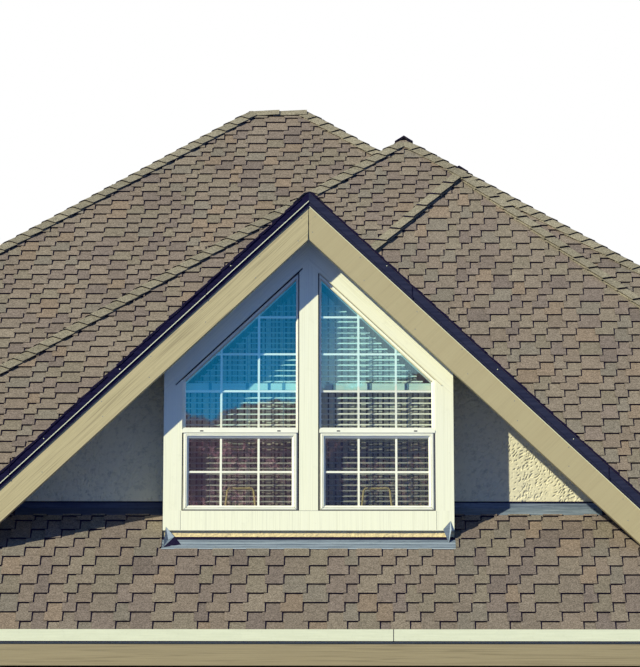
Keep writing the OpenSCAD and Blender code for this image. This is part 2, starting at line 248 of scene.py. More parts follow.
# Materials
class Nodes:
    """Nodes of a material or of the world."""

    def __init__(self, tree):
        self.tree = tree

    def feed(self, socket, value):
        if isinstance(value, bpy.types.NodeSocket):
            self.tree.links.new(value, socket)
        elif isinstance(value, tuple) and len(value) == 3 and socket.type == "RGBA":
            socket.default_value = (*value, 1)
        else:
            socket.default_value = value

    def node(self, kind, feeds=(), **settings):
        """New node with its settings made and its inputs fed, each by its name or number."""
        made = self.tree.nodes.new("ShaderNode" + kind)
        for key, value in settings.items():
            setattr(made, key, value)
        for socket, value in dict(feeds).items():
            self.feed(made.inputs[socket], value)
        return made

    def math(self, operation, first, second=0.0):
        return self.node("Math", {0: first, 1: second}, operation=operation).outputs[0]

    def times(self, first, second):
        return self.math("MULTIPLY", first, second)

    def mix(self, share, first, second, blend="MIX"):
        feeds = {0: share, 6: first, 7: second}
        return self.node("Mix", feeds, data_type="RGBA", blend_type=blend).outputs[2]

    def blend(self, share, first, second):
        """Mix of two shaders."""
        return self.node("MixShader", {0: share, 1: first, 2: second}).outputs[0]


class Shader(Nodes):
    """One material."""

    def __init__(self, name, colour, rough, specular=0.5, metallic=0.0):
        self.material = bpy.data.materials.new(name)
        self.material.use_nodes = True
        super().__init__(self.material.node_tree)
        self.shader = self.tree.nodes["Principled BSDF"]
        self.colour(colour)
        self.roughness(rough)
        self.feed(self.shader.inputs["Metallic"], metallic)
        self.feed(self.shader.inputs["Specular IOR Level"], specular)
        self.coords = self.node("TexCoord").outputs["Object"]

    def stretched(self, scale, turn=(0, 0, 0)):
        """Object coordinates turned and scaled."""
        turned = self.node("Mapping", {"Vector": self.coords, "Rotation": turn}, vector_type="TEXTURE")
        return self.node("Mapping", {"Vector": turned.outputs[0], "Scale": scale}).outputs[0]

    def noise(self, scale, detail, rough=0.5, coords=None):
        feeds = {"Vector": coords or self.coords, "Scale": scale, "Detail": detail, "Roughness": rough}
        return self.node("TexNoise", feeds).outputs["Fac"]

    def cells(self, scale, coords=None):
        feeds = {"Vector": coords or self.coords, "Scale": scale}
        return self.node("TexVoronoi", feeds).outputs["Distance"]

    def range(self, value, low, high, to_low=0.0, to_high=1.0):
        feeds = {"Value": value, "From Min": low, "From Max": high, "To Min": to_low, "To Max": to_high}
        return self.node("MapRange", feeds, interpolation_type="SMOOTHSTEP").outputs["Result"]

    def tint(self):
        return self.node("Attribute", attribute_name="tint").outputs["Color"]

    def axis(self, name):
        return self.node("SeparateXYZ", {0: self.coords}).outputs[name]

    def backfacing(self):
        return self.node("NewGeometry").outputs["Backfacing"]

    def colour(self, value):
        self.feed(self.shader.inputs["Base Color"], value)

    def roughness(self, value):
        self.feed(self.shader.inputs["Roughness"], value)

    def surface(self, value):
        self.feed(self.tree.nodes["Material Output"].inputs["Surface"], value)

    def bump(self, height, distance, strength):
        made = self.node("Bump", {"Height": height, "Distance": distance, "Strength": strength})
        self.feed(self.shader.inputs["Normal"], made.outputs[0])


def shingle_material():
    """Mineral granules on asphalt, with the colour of each tab from its tint."""
    made = Shader("shingle", (0.2, 0.17, 0.15), 0.95, 0.04)
    granules = made.noise(330, 3, 0.7)
    speckle = made.range(granules, 0.3, 0.7, 0.72, 1.28)
    clumps = made.range(made.noise(84, 2, 0.6), 0.38, 0.62, 0.70, 1.30)
    blotch = made.range(made.noise(24, 3, 0.6), 0.3, 0.7, 0.89, 1.11)
    weather = made.range(made.noise(1.1, 3, 0.6), 0.3, 0.7, 0.95, 1.05)
    shade = made.times(made.times(speckle, clumps), made.times(blotch, weather))
    grey = made.node("CombineColor", {channel: shade for channel in ("Red", "Green", "Blue")})
    made.colour(made.mix(1.0, made.tint(), grey.outputs[0], "MULTIPLY"))
    made.bump(granules, 0.0015, 0.8)
    return made.material


def dark_edge_and_shade_material():
    """Dark asphalt at the cut edges of the shingles; the same dark also serves as painted shade in gaps,
    under edges and on shaded pieces.
    """
    made = Shader("dark_edge_and_shade", (0.009, 0.007, 0.024), 0.95, 0.04)
    fleck = made.range(made.noise(160, 3, 0.7), 0.45, 0.75)
    made.colour(made.mix(fleck, (0.008, 0.006, 0.024), (0.026, 0.022, 0.040)))
    made.bump(made.noise(240, 2), 0.001, 0.6)
    return made.material


def stucco_material(name, colour, warm, relief_depth):
    """Painted render worked with a trowel into low dimples, darkened in the dimples as painted shade."""
    made = Shader(name, colour, 0.92, 0.06)
    dimples = made.noise(26, 5, 0.62)
    grains = made.noise(170, 3, 0.7)
    ridges = made.cells(34, made.stretched((1, 1, 1.6), (0, 0.6, 0)))
    relief = made.math("ADD", made.times(dimples, 0.75), made.times(ridges, 0.35))
    relief = made.math("ADD", relief, made.times(grains, 0.16))
    stain = made.range(made.noise(2.4, 4, 0.6), 0.35, 0.7)
    # Low dimples are darkened: painted shade in the hollows
    pits = made.range(dimples, 0.32, 0.5)
    made.colour(made.mix(pits, dim(colour, 0.82), made.mix(stain, colour, warm)))
    made.bump(relief, relief_depth, 0.85)
    return made.material


def board_material(name, colour, shade, turn, fine, lines):
    """Painted sawn board with its grain along one direction and a little dirt."""
    made = Shader(name, colour, 0.6, 0.2)
    grain = made.noise(1.0, 4, 0.65, made.stretched((2.5, fine * 0.6, fine), turn))
    broad = made.noise(1.0, 3, 0.5, made.stretched((1.2, fine * 0.1, fine * 0.14), turn))
    dirt = made.range(made.noise(7, 5, 0.75), 0.58, 0.8)
    specks = made.range(made.cells(11), 0.0, 0.035, 1.0, 0.0)
    drift = made.noise(1.0, 2, 0.5, made.stretched((0.4, fine * 0.3, fine * 0.45), turn))
    seam = made.range(made.math("ABSOLUTE", made.math("SUBTRACT", drift, 0.5)), 0.006, 0.034, lines, 0.0)
    tone = made.mix(made.times(made.range(grain, 0.3, 0.62), lines), shade, colour)
    tone = made.mix(made.range(broad, 0.35, 0.7, 0.0, 0.35), tone, dim(colour, 0.86))
    tone = made.mix(made.times(seam, 0.8), tone, dim(shade, 0.62))
    tone = made.mix(made.times(dirt, 0.25), tone, dim(shade, 0.6))
    made.colour(made.mix(made.times(specks, 0.55), tone, dim(shade, 0.35)))
    made.roughness(made.range(broad, 0.3, 0.7, 0.45, 0.68))
    made.bump(grain, 0.0022, 0.6)
    return made.material


def vinyl_material():
    """Window plastic with a faint haze."""
    made = Shader("window_vinyl", (0.84, 0.84, 0.66), 0.42, 0.3)
    haze = made.range(made.noise(6, 4, 0.6), 0.4, 0.75)
    made.colour(made.mix(haze, (0.85, 0.85, 0.67), (0.78, 0.78, 0.60)))
    made.roughness(made.range(made.noise(40, 3), 0.3, 0.7, 0.32, 0.46))
    made.bump(made.noise(90, 2), 0.0004, 0.4)
    return made.material


def metal_material(name, colour, light, rough, streak, shine=0.07):
    """Painted sheet metal with weather streaks along its length."""
    made = Shader(name, colour, rough, shine)
    run = made.noise(1.0, 4, 0.6, made.stretched((3.5, 60, 60)))
    spots = made.range(made.noise(38, 4, 0.7), 0.52, 0.72)
    tone = made.mix(made.range(run, 0.35, 0.68), colour, light)
    made.colour(made.mix(made.times(spots, streak), tone, dim(colour, 0.55)))
    made.roughness(made.range(run, 0.3, 0.7, rough - 0.08, rough + 0.1))
    made.bump(made.noise(9, 3), 0.003, 0.35)
    return made.material


def brass_material():
    """Brass dulled by handling."""
    colour = (1.0, 0.80, 0.28)
    made = Shader("handle_brass", colour, 0.4, 0.5, 0.05)
    rub = made.noise(55, 4, 0.6)
    made.colour(made.mix(made.range(rub, 0.35, 0.65), colour, dim(colour, 0.8)))
    made.roughness(made.range(rub, 0.3, 0.7, 0.34, 0.5))
    made.bump(rub, 0.0004, 0.5)
    return made.material


def slat_material():
    """Ivory blind slats, dusty on top."""
    made = Shader("blind_slats", (0.70, 0.72, 0.58), 0.5, 0.2)
    dust = made.range(made.noise(14, 4), 0.4, 0.7)
    made.colour(made.mix(dust, (0.72, 0.74, 0.60), (0.62, 0.63, 0.50)))
    made.bump(made.noise(120, 2), 0.0004, 0.4)
    return made.material


def vane_material():
    """Woven vertical vanes, each with its own tint."""
    made = Shader("vane", (0.3, 0.28, 0.2), 0.9, 0.1)
    weave = made.noise(1.0, 3, 0.6, made.stretched((260, 260, 30)))
    tone = made.mix(made.range(weave, 0.35, 0.65), (0.75, 0.75, 0.75), (1.0, 1.0, 1.0))
    made.colour(made.mix(1.0, made.tint(), tone, "MULTIPLY"))
    made.bump(weave, 0.001, 0.6)
    return made.material


def glass_material(name, twig_tone, sky_from, sky_to, dusk):
    """Sealed glass whose outer face carries a painted reflection in its gloss colour, sky above and garden
    below, and whose inner face is dusky and tinted blue where the painted sky shows.
    """
    made = Shader(name, (0.02, 0.16, 0.30), 0.03)
    across = made.axis("X")
    wave = made.times(made.math("SUBTRACT", made.noise(3.4, 5, 0.7), 0.5), 0.42)
    height = made.math("ADD", made.math("ADD", made.axis("Z"), wave), made.times(across, -0.22))
    in_sky = made.range(height, sky_from, sky_to)
    # Painted reflection of twigs, leaves and ground in the garden below
    twigs = made.range(made.noise(34, 7, 0.85, made.stretched((1.0, 1.0, 0.6))), 0.46, 0.66)
    leaves = made.range(made.noise(3.1, 3, 0.6), 0.38, 0.62)
    to_right = made.range(across, -0.35, 0.15)
    twig_tone = made.mix(to_right, twig_tone, tuple(c * 0.35 + 0.02 for c in twig_tone))
    ground = made.mix(to_right, (0.034, 0.022, 0.036), (0.016, 0.020, 0.044))
    garden = made.mix(made.times(twigs, leaves), ground, twig_tone)
    # Painted sky reflection, paler towards the right and lower down
    sky = made.mix(made.range(made.noise(1.4, 2), 0.35, 0.65), dim(PAINTED_SKY_REFLECTION, 0.8), PAINTED_SKY_REFLECTION)
    above = made.math("SUBTRACT", made.axis("Z"), LIGHT_LO.z)
    pale = made.math("SUBTRACT", across, made.times(above, 0.45))
    sky = made.mix(made.range(pale, -0.42, 0.10), sky, (0.105, 0.180, 0.215))
    gloss = made.node("BsdfGlossy", {"Color": made.mix(in_sky, garden, sky), "Roughness": 0.02})
    clear = made.node("BsdfTransparent", {"Color": (0.94, 0.97, 0.97)})
    outer = made.node("AddShader", {0: clear.outputs[0], 1: gloss.outputs[0]})
    # Inner face dims what shows through, and tints it blue under the painted sky reflection
    inner = made.node("BsdfTransparent", {"Color": made.mix(in_sky, (dusk, dusk, dusk), (0.62, 0.80, 0.86))})
    made.surface(made.blend(made.backfacing(), outer.outputs[0], inner.outputs[0]))
    return made.material


CREAM = (0.91, 0.91, 0.69)
CREAM_SHADE = (0.79, 0.79, 0.57)
BEIGE = (0.505, 0.435, 0.235)
BEIGE_SHADE = (0.385, 0.325, 0.175)
# Colour of the sky reflection painted into the glass's gloss
PAINTED_SKY_REFLECTION = (0.002, 0.105, 0.225)
PALE = (0.86, 0.86, 0.85)
QUARTER = math.pi / 2
TURNS = {"left": (0, -GABLE, 0), "right": (0, GABLE, 0)}
BARGE_TURNS = {"left": (0, -GABLE, 0), "right": (0, GABLE - QUARTER, 0)}
BARGE_LINES = {"left": 0.72, "right": 0.15}

SHINGLE = shingle_material()
DARK_EDGE_AND_SHADE = dark_edge_and_shade_material()
ROOFING = [SHINGLE, DARK_EDGE_AND_SHADE]
STUCCO = stucco_material("stucco", (0.57, 0.53, 0.36), (0.61, 0.565, 0.38), 0.012)
STUCCO_NEAR = stucco_material("stucco_near", (0.63, 0.595, 0.415), (0.67, 0.625, 0.425), 0.003)
STUCCO_FOOT = stucco_material("stucco_foot", (0.74, 0.60, 0.32), (0.82, 0.67, 0.34), 0.014)
UPRIGHT = board_material("white_upright", CREAM, CREAM_SHADE, (0, QUARTER, 0), 170, 0.25)
LEVEL = board_material("white_level", CREAM, CREAM_SHADE, (0, QUARTER, 0), 120, 0.3)
RAKED = {s: board_material("white_rake_" + s, CREAM, CREAM_SHADE, TURNS[s], 120, 0.25) for s in SIDES}
BARGE = {
    s: board_material("barge_" + s, BEIGE, BEIGE_SHADE, BARGE_TURNS[s], 85, BARGE_LINES[s]) for s in SIDES
}
FASCIA = board_material("fascia_beige", (0.335, 0.275, 0.150), (0.27, 0.22, 0.120), (0, 0, 0), 85, 0.6)
JOIST = board_material("floor_wood", (0.40, 0.28, 0.16), (0.24, 0.15, 0.08), (0, 0, QUARTER), 60, 0.8)
VINYL = vinyl_material()
GUTTER = metal_material("gutter_metal", (0.65, 0.665, 0.455), (0.70, 0.715, 0.49), 0.45, 0.12)
# Drip metal for each side; the left copy is darker than the right as painted shade on the shaded slope
DRIP = {
    "left": metal_material("drip_metal_painted_shade", (0.008, 0.007, 0.026), (0.014, 0.013, 0.040), 0.6, 0.2, 0.0),
    "right": metal_material("drip_metal", (0.019, 0.022, 0.045), (0.030, 0.033, 0.060), 0.6, 0.2, 0.0),
}
LEAD = metal_material("flashing_metal", (0.100, 0.130, 0.165), (0.18, 0.22, 0.26), 0.55, 0.45)
# Darker copy of the flashing metal, as painted shade on flashings that lie in shade
LEAD_PAINTED_SHADE = metal_material("flashing_painted_shade", (0.036, 0.046, 0.080), (0.060, 0.075, 0.115), 0.6, 0.4)
# Paler flashing metal for the light bands on the apron, and as painted highlight on the kick-outs and the
# apron's bottom edge
LEAD_PALE_AND_HIGHLIGHT = metal_material("flashing_pale_and_highlight", (0.30, 0.36, 0.40), (0.36, 0.42, 0.45), 0.5, 0.3)
METALS = [LEAD, LEAD_PALE_AND_HIGHLIGHT, DARK_EDGE_AND_SHADE]
JAMB = metal_material("jamb_lining", (0.60, 0.56, 0.37), (0.66, 0.62, 0.42), 0.6, 0.1)
BRASS = brass_material()
SLAT = slat_material()
VANE = vane_material()
HEADRAIL = metal_material("headrail", (0.60, 0.70, 0.54), (0.66, 0.76, 0.59), 0.4, 0.1)
TAPE = metal_material("ladder_tape", (0.16, 0.26, 0.28), (0.20, 0.30, 0.30), 0.8, 0.1)
GLASS_HIGH = glass_material("glass_high", (0.075, 0.045, 0.055), LIGHT_LO.z + 0.26, LIGHT_LO.z + 0.31, 0.85)
GLASS_LOW = glass_material("glass_low", (0.25, 0.13, 0.15), LIGHT_LO.z + 3.0, LIGHT_LO.z + 4.0, 0.50)


# Camera, lamps and floor
def add_camera():
    """Looks up at the dormer from the photograph's direction through a long lens."""
    focus = 5500
    off_middle = 12
    picture_height = 667
    away = 41.48
    below = 13.314
    look_up = 20
    data = bpy.data.cameras.new("camera")
    data.sensor_width = 36
    data.lens = focus * data.sensor_width / picture_height
    data.clip_end = 400
    camera = bpy.data.objects.new("camera", data)
    camera.location = place(0, -away, -below)
    camera.rotation_euler = (math.radians(90 + look_up), 0, -math.atan(off_middle / focus))
    bpy.context.collection.objects.link(camera)
    bpy.context.scene.camera = camera


def add_sun(name, azimuth, elevation, strength, colour, spread):
    """Lamp whose light comes from an azimuth left of the viewer and an elevation."""
    data = bpy.data.lights.new(name, "SUN")
    data.energy = strength
    data.color = colour
    data.angle = math.radians(spread)
    lamp = bpy.data.objects.new(name, data)
    across = math.radians(azimuth)
    rise = math.radians(elevation)
    travel = Vector((math.sin(across) * math.cos(rise), math.cos(across) * math.cos(rise), -math.sin(rise)))
    lamp.rotation_euler = travel.to_track_quat("-Z", "Y").to_euler()
    away = 30
    lamp.location = -travel * away
    bpy.context.collection.objects.link(lamp)


def add_world():
    """Even pale light from all round, and a white background."""
    world = bpy.data.worlds.new("world")
    bpy.context.scene.world = world
    world.use_nodes = True
    made = Nodes(world.node_tree)
    light = world.node_tree.nodes["Background"]
    made.feed(light.inputs["Color"], (0.19, 0.41, 0.96))
    made.feed(light.inputs["Strength"], 0.44)
    shown = made.node("Background", {"Color": (1.0, 1.0, 1.0)})
    path = made.node("LightPath").outputs
    seen = made.math("MAXIMUM", path["Is Camera Ray"], path["Is Transmission Ray"])
    seen = made.math("MAXIMUM", seen, path["Is Glossy Ray"])
    surface = world.node_tree.nodes["World Output"].inputs["Surface"]
    made.feed(surface, made.blend(seen, light.outputs[0], shown.outputs[0]))


def add_floor():
    """Pale floor that shows only from above, because the photograph looks up from below it."""
    made = Shader("floor", PALE, 0.9, 0.1)
    seen = made.node("LightPath").outputs["Is Camera Ray"]
    made.colour(made.mix(seen, (0.09, 0.15, 0.46), PALE))
    through = made.node("BsdfTransparent").outputs[0]
    made.surface(made.blend(made.backfacing(), made.shader.outputs[0], through))
    half = 60
    corners = [(x, y, -FINE) for x, y in oblong(-half, -half, half, half)]
    new_object("floor", corners, [(0, 1, 2, 3)], [made.material])


# Shingles
TONES = [
    ((0.187, 0.155, 0.123), 6), ((0.191, 0.154, 0.121), 4), ((0.173, 0.140, 0.117), 4),
    ((0.176, 0.154, 0.124), 3), ((0.206, 0.159, 0.118), 2), ((0.185, 0.158, 0.120), 3),
    ((0.157, 0.128, 0.110), 2), ((0.199, 0.166, 0.128), 2),
]
CAP_TONE = (0.222, 0.198, 0.144)
TAB_RISE = (0.0140, 0.0085)
GAP_RISE = (0.0046, 0.0004)
# Share to which the courses low on the front slope are darkened
LOWER_COURSE_DIM = 0.93


def clip(outline, region):
    """Part of an outline inside a convex region whose corners run anticlockwise."""
    for a, b in zip(region, region[1:] + region[:1]):
        side = [(b[0] - a[0]) * (p[1] - a[1]) - (b[1] - a[1]) * (p[0] - a[0]) for p in outline]
        kept = []
        for i, point in enumerate(outline):
            before = outline[i - 1]
            if (side[i] >= 0) != (side[i - 1] >= 0):
                share = side[i - 1] / (side[i - 1] - side[i])
                kept.append(tuple(q + (p - q) * share for p, q in zip(point, before)))
            if side[i] >= 0:
                kept.append(point)
        outline = kept
        if len(outline) < 3:
            return []
    return outline


def pick_tone(rng):
    """One tab's colour, a little off one of the blend's tones."""
    tones, weights = zip(*TONES)
    tone = rng.choices(tones, weights)[0]
    return dim(tone, rng.uniform(0.93, 1.07))


def course_teeth(start, end, below, rng):
    """Raised tabs of one course, set over the gaps between the tabs of the course below."""
    teeth = []
    if below is None:
        at = start - rng.uniform(0, 0.2)
        while at < end:
            width = rng.uniform(0.12, 0.19)
            teeth.append((at, at + width, pick_tone(rng)))
            at += width + rng.uniform(0.08, 0.15)
        return teeth
    narrowest = 0.105
    widest = 0.195
    least_gap = 0.07
    least_left = 0.085
    shift = rng.uniform(-0.012, 0.03)
    last = start - 1
    for (_, left, _), (right, _, _) in zip(below, below[1:]):
        width = min(max(right - left + rng.uniform(0.0, 0.05), narrowest), widest)
        middle = (left + right) / 2 + shift + rng.uniform(-0.012, 0.012)
        low = max(middle - width / 2, last + least_gap)
        high = middle + width / 2
        if high - low > least_left:
            teeth.append((low, high, pick_tone(rng)))
            last = high
    while teeth and teeth[0][0] > start:
        first = teeth[0][0] - rng.uniform(0.08, 0.13)
        teeth.insert(0, (first - rng.uniform(0.12, 0.18), first, pick_tone(rng)))
    while teeth and teeth[-1][1] < end:
        first = teeth[-1][1] + rng.uniform(0.08, 0.13)
        teeth.append((first, first + rng.uniform(0.12, 0.18), pick_tone(rng)))
    return split_wide(teeth, rng)


def split_wide(teeth, rng):
    """Adds a tab wherever the gap between two has grown too wide."""
    widest = 0.26
    added = 0.12
    result = teeth[:1]
    for tooth in teeth[1:]:
        gap = tooth[0] - result[-1][1]
        if gap > widest:
            low = result[-1][1] + gap / 2 - added / 2
            result.append((low, low + added, pick_tone(rng)))
        result.append(tooth)
    return result


def tone_under(teeth, at, rng):
    """Colour of the tab below a place, which shows in the gap above it."""
    for low, high, tone in teeth or []:
        if low <= at <= high:
            return tone
    return pick_tone(rng)


def shingle_field(name, corner, along, up, rows, regions, seed, dimmed_below=-1.0):
    """Laminated shingles laid in courses on one slope, cut to its convex regions; each raised tab's base runs
    on past its right end into a dark slanted face, a painted shadow of the tab's side.
    """
    out = along.cross(up)
    rng = random.Random(seed)
    solids = Solids()
    ends = [u for region in regions for u, _ in region]
    lap = 0.004
    sunk = -0.004
    below = None

    def lift(u, v, height):
        return corner + along * u + up * v + out * height

    for row, upper in zip(rows, rows[1:]):
        teeth = course_teeth(min(ends), max(ends), below, rng)
        # Courses below the given height are darkened by a plain share
        lower_dim = LOWER_COURSE_DIM if row < dimmed_below else 1.0
        cells = []
        for tooth, after in zip(teeth, teeth[1:]):
            gap_tone = tone_under(below, (tooth[1] + after[0]) / 2, rng)
            cells.append((tooth[0], tooth[1], *TAB_RISE, tooth[2], TAB_SHADOW_SLANT))
            cells.append((tooth[1], after[0], *GAP_RISE, gap_tone, 0.0))
        for low, high, butt, head, tone, edge in cells:
            sag = rng.uniform(-0.002, 0.002)
            # Past a raised tab's right end its base runs on into a dark slanted face: painted shadow of the
            # tab's side
            tab = oblong(low, row + sag, high + edge, upper + lap)
            for region in regions:
                outline = clip(tab, region)
                if not outline or min(u for u, _ in outline) >= high:
                    continue
                top = []
                for u, v in outline:
                    share = min(max((v - row) / (upper - row), 0), 1.1)
                    top.append(lift(min(u, high), v, butt + (head - butt) * share))
                base = [lift(u, v, sunk) for u, v in outline]
                solids.prism(base, top, 0, 1, dim(tone, lower_dim))
        below = teeth
    make(name, solids, ROOFING)


def even_rows(first, course, end):
    """Heights up a slope at which the courses start."""
    rows = [first]
    while rows[-1] < end:
        rows.append(rows[-1] + course)
    return rows


def up_slope(run):
    """Distance up the main roof's slope over a level run."""
    return run / math.cos(MAIN)


def on_front(x, depth, drop=0.0):
    """Point on the front slope's plane, or a drop below it."""
    return place(x, depth, FOOT + depth - drop)


class Slope:
    """One plane of the main roof: a point on its foot line and the way in plan in which it falls."""

    def __init__(self, foot, height, falls):
        self.foot = Vector(foot)
        self.falls = Vector(falls)
        self.along = Vector((-falls[1], falls[0], 0))
        self.up = Vector((-falls[0] * math.cos(MAIN), -falls[1] * math.cos(MAIN), math.sin(MAIN)))
        self.normal = self.along.cross(self.up)
        self.corner = place(foot[0], foot[1], height)

    def region(self, points):
        """Outline in plan turned into distances along the slope and up it."""
        ways = [Vector(point) - self.foot for point in points]
        return [(way.dot(self.along.xy), up_slope(-way.dot(self.falls))) for way in ways]

    def shingles(self, name, outlines, rows, seed, dimmed_below=-1.0):
        regions = [self.region(points) for points in outlines]
        shingle_field(name, self.corner, self.along, self.up, rows, regions, seed, dimmed_below)


FRONT = Slope((0, EAVE), FOOT + EAVE, (0, -1))
LEFT = Slope((-ROOF_HALF, 0), FRONT_TOP - HIP_X - ROOF_HALF, (-1, 0))
RIGHT = Slope((ROOF_HALF, 0), FRONT_TOP + HIP_X - ROOF_HALF, (1, 0))
BACK_FRONT = Slope((0, 0), FOOT - BACK_DROP, (0, -1))
BACK_LEFT = Slope((-ROOF_HALF, 0), BACK_TOP - RIDGE_LEFT - ROOF_HALF, (-1, 0))
BACK_RIGHT = Slope((VALLEY_X, 0), BACK_TOP - VALLEY_X + RIDGE_RIGHT, (1, 0))
REAR = Slope((0, BACK), BACK_TOP - (BACK - RIDGE_RUN), (0, 1))
NEAR_TOP = (1.36, 4.79)
NEAR_LEFT_RISE = 1.4546
NEAR_RIGHT_RISE = 1.3238
VALLEY_GAP = 0.05


def left_hip(x):
    """Depth of the front section's left hip at a place across."""
    return HIP_RUN + x - HIP_X


def right_hip(x):
    """Depth of its right hip at a place across."""
    return HIP_RUN + HIP_X - x


def near_edge(x):
    """Depth of the capped line that bounds the wider courses round the dormer, at a place across."""
    rise = NEAR_LEFT_RISE if x < NEAR_TOP[0] else -NEAR_RIGHT_RISE
    return NEAR_TOP[1] + (x - NEAR_TOP[0]) * rise


def main_shingles():
    """Courses on the front slope: wider ones below and right of the dormer, narrower ones elsewhere."""
    under_box = FACE - 0.122
    at_wall = -0.085
    beside_box = BOX_HALF + 0.007
    overhang = 0.012
    skirt_top = 1.8
    valley_x = (VALLEY_RUN - at_wall) / SLOPE + VALLEY_GAP
    hip_end = (-EDGE, left_hip(-EDGE))
    hip_at_valley = (VALLEY_RUN - HIP_RUN + HIP_X, VALLEY_RUN)
    valley_head = (VALLEY_GAP, VALLEY_RUN)
    cap_foot = (VALLEY_GAP, near_edge(VALLEY_GAP))
    cap_end = (EDGE, near_edge(EDGE))
    over_foot = (VALLEY_GAP, left_hip(VALLEY_GAP))
    under_peak = (HIP_X, near_edge(HIP_X))
    near = [
        oblong(-EDGE, EAVE - overhang, EDGE, under_box), oblong(beside_box, under_box, EDGE, at_wall),
        oblong(-EDGE, under_box, -beside_box, at_wall),
        [(valley_x, at_wall), (EDGE, at_wall), cap_end, NEAR_TOP, cap_foot, valley_head],
    ]
    far = [
        [(-valley_x, at_wall), (-VALLEY_GAP, VALLEY_RUN), hip_at_valley, hip_end, (-EDGE, at_wall)],
        [hip_at_valley, valley_head, over_foot],
        [cap_foot, under_peak, (HIP_X, HIP_RUN), over_foot],
        [under_peak, NEAR_TOP, (HIP_X, HIP_RUN)],
        [NEAR_TOP, cap_end, (EDGE, right_hip(EDGE)), (NEAR_TOP[0], right_hip(NEAR_TOP[0]))],
    ]
    top = up_slope(HIP_RUN - EAVE)
    starter = 0.185
    cut_course = 0.08
    rows = [-overhang, *even_rows(starter, SKIRT_COURSE, skirt_top)]
    rows += even_rows(rows[-1] + cut_course, FIELD_COURSE, top)
    FRONT.shingles("front_shingles", near, rows, 11, skirt_top)
    FRONT.shingles("upper_shingles", far, even_rows(up_slope(at_wall - EAVE), UPPER_COURSE, top), 13)


def section_shingles():
    """Courses on the slopes beyond the hips and on the section further back."""
    back = BACK - FINE
    side = ROOF_HALF - BUTT_SET
    inner_y = HIP_RUN - HIP_X + VALLEY_X + BACK_DROP
    edge_y = left_hip(-EDGE) + BACK_DROP
    side_first = up_slope(BUTT_SET)
    far_left = RIDGE_RUN - RIDGE_LEFT - EDGE
    rear = BACK - RIDGE_RUN - BUTT_SET
    ridge_left = (RIDGE_LEFT, RIDGE_RUN)
    ridge_right = (RIDGE_RIGHT, RIDGE_RUN)

    def rows(run, course=FIELD_COURSE, first=side_first):
        return even_rows(first, course, up_slope(run))

    LEFT.shingles("hip_shingles_left", [
        [(-side, left_hip(-side)), (HIP_X, HIP_RUN), (HIP_X, inner_y), (VALLEY_X, inner_y), (-side, edge_y)],
        [(VALLEY_X, inner_y), (HIP_X, inner_y), (HIP_X, back), (VALLEY_X, back)],
    ], rows(HIP_X + ROOF_HALF), 21)
    RIGHT.shingles("hip_shingles_right", [
        [(side, right_hip(side)), (side, back), (HIP_X, back), (HIP_X, HIP_RUN)]
    ], rows(ROOF_HALF - HIP_X), 23)
    BACK_FRONT.shingles("back_shingles_front", [
        [(-EDGE, edge_y), (VALLEY_X, inner_y), ridge_right, ridge_left, (-EDGE, far_left)]
    ], rows(RIDGE_RUN, UPPER_COURSE, 1.61), 25)
    BACK_LEFT.shingles("back_shingles_left", [
        [(-side, far_left), ridge_left, (RIDGE_LEFT - rear, back), (-side, back)]
    ], rows(ROOF_HALF + RIDGE_LEFT), 27)
    BACK_RIGHT.shingles("back_shingles_right", [
        [ridge_right, (VALLEY_X, inner_y), (VALLEY_X, back), (RIDGE_RIGHT + rear, back)]
    ], rows(VALLEY_X - RIDGE_RIGHT, first=0.0), 29)
    REAR.shingles("back_shingles_rear", [
        [ridge_left, ridge_right, (RIDGE_RIGHT + rear, BACK - BUTT_SET), (RIDGE_LEFT - rear, BACK - BUTT_SET)]
    ], rows(BACK - RIDGE_RUN), 31)


def dormer_shingles(side):
    """Courses on one slope of the dormer, cut along the valley."""
    sign = SIDES[side]
    up = Vector((-sign * math.cos(GABLE), 0, math.sin(GABLE)))
    reach = (VALLEY_RUN - ROOF_FRONT) / SLOPE
    corner = place(sign * reach, 0, ROOF_PEAK - reach * SLOPE)
    length = reach / math.cos(GABLE)
    front = ROOF_FRONT - 0.01
    low = VALLEY_GAP
    high = length - 0.02
    points = [(front, low), (front + VALLEY_GAP, low), (VALLEY_RUN, high), (front, high)]
    region = [(u * sign, v) for u, v in points][::sign]
    rows = even_rows(0.0, DORMER_COURSE, length)
    shingle_field("dormer_shingles_" + side, corner, Vector((0, sign, 0)), up, rows, [region], 31 + sign)


def cap_run(solids, start, end, normals, width, seed, exposure=0.138, rise=0.028):
    """Folded cap shingles lapped from a start to an end, over two slopes with the normals given."""
    rng = random.Random(seed)
    run = end - start
    way = run.normalized()
    wings = []
    for normal in normals:
        wing = way.cross(normal).normalized()
        wings.append(wing if wing.z < 0 else -wing)
    crown = (normals[0] + normals[1]).normalized()
    count = int(run.length / exposure)
    step = run.length / count
    fold = 0.18
    sink = Vector((0, 0, 0.012))
    thick = 0.0045
    overhang = 0.01
    lap = 0.05

    def section(at, rise, spread):
        left = [wings[0] * width * spread * s + normals[0] * rise for s in (1.0, fold)]
        right = [wings[1] * width * spread * s + normals[1] * rise for s in (fold, 1.0)]
        outer = [*left, crown * rise * 0.9 - sink, *right]
        inner = [p - crown * thick for p in reversed(outer)]
        return [start + way * at + p for p in (*outer, *inner)]

    for i in range(count):
        low = step * i - overhang
        high = min(step * (i + 1) + lap, run.length)
        tone = dim(CAP_TONE, rng.uniform(0.88, 1.1))
        spread = rng.uniform(0.97, 1.03)
        solids.prism(section(low, rise, spread), section(high, rise / 2, spread), 1, 0, tone)


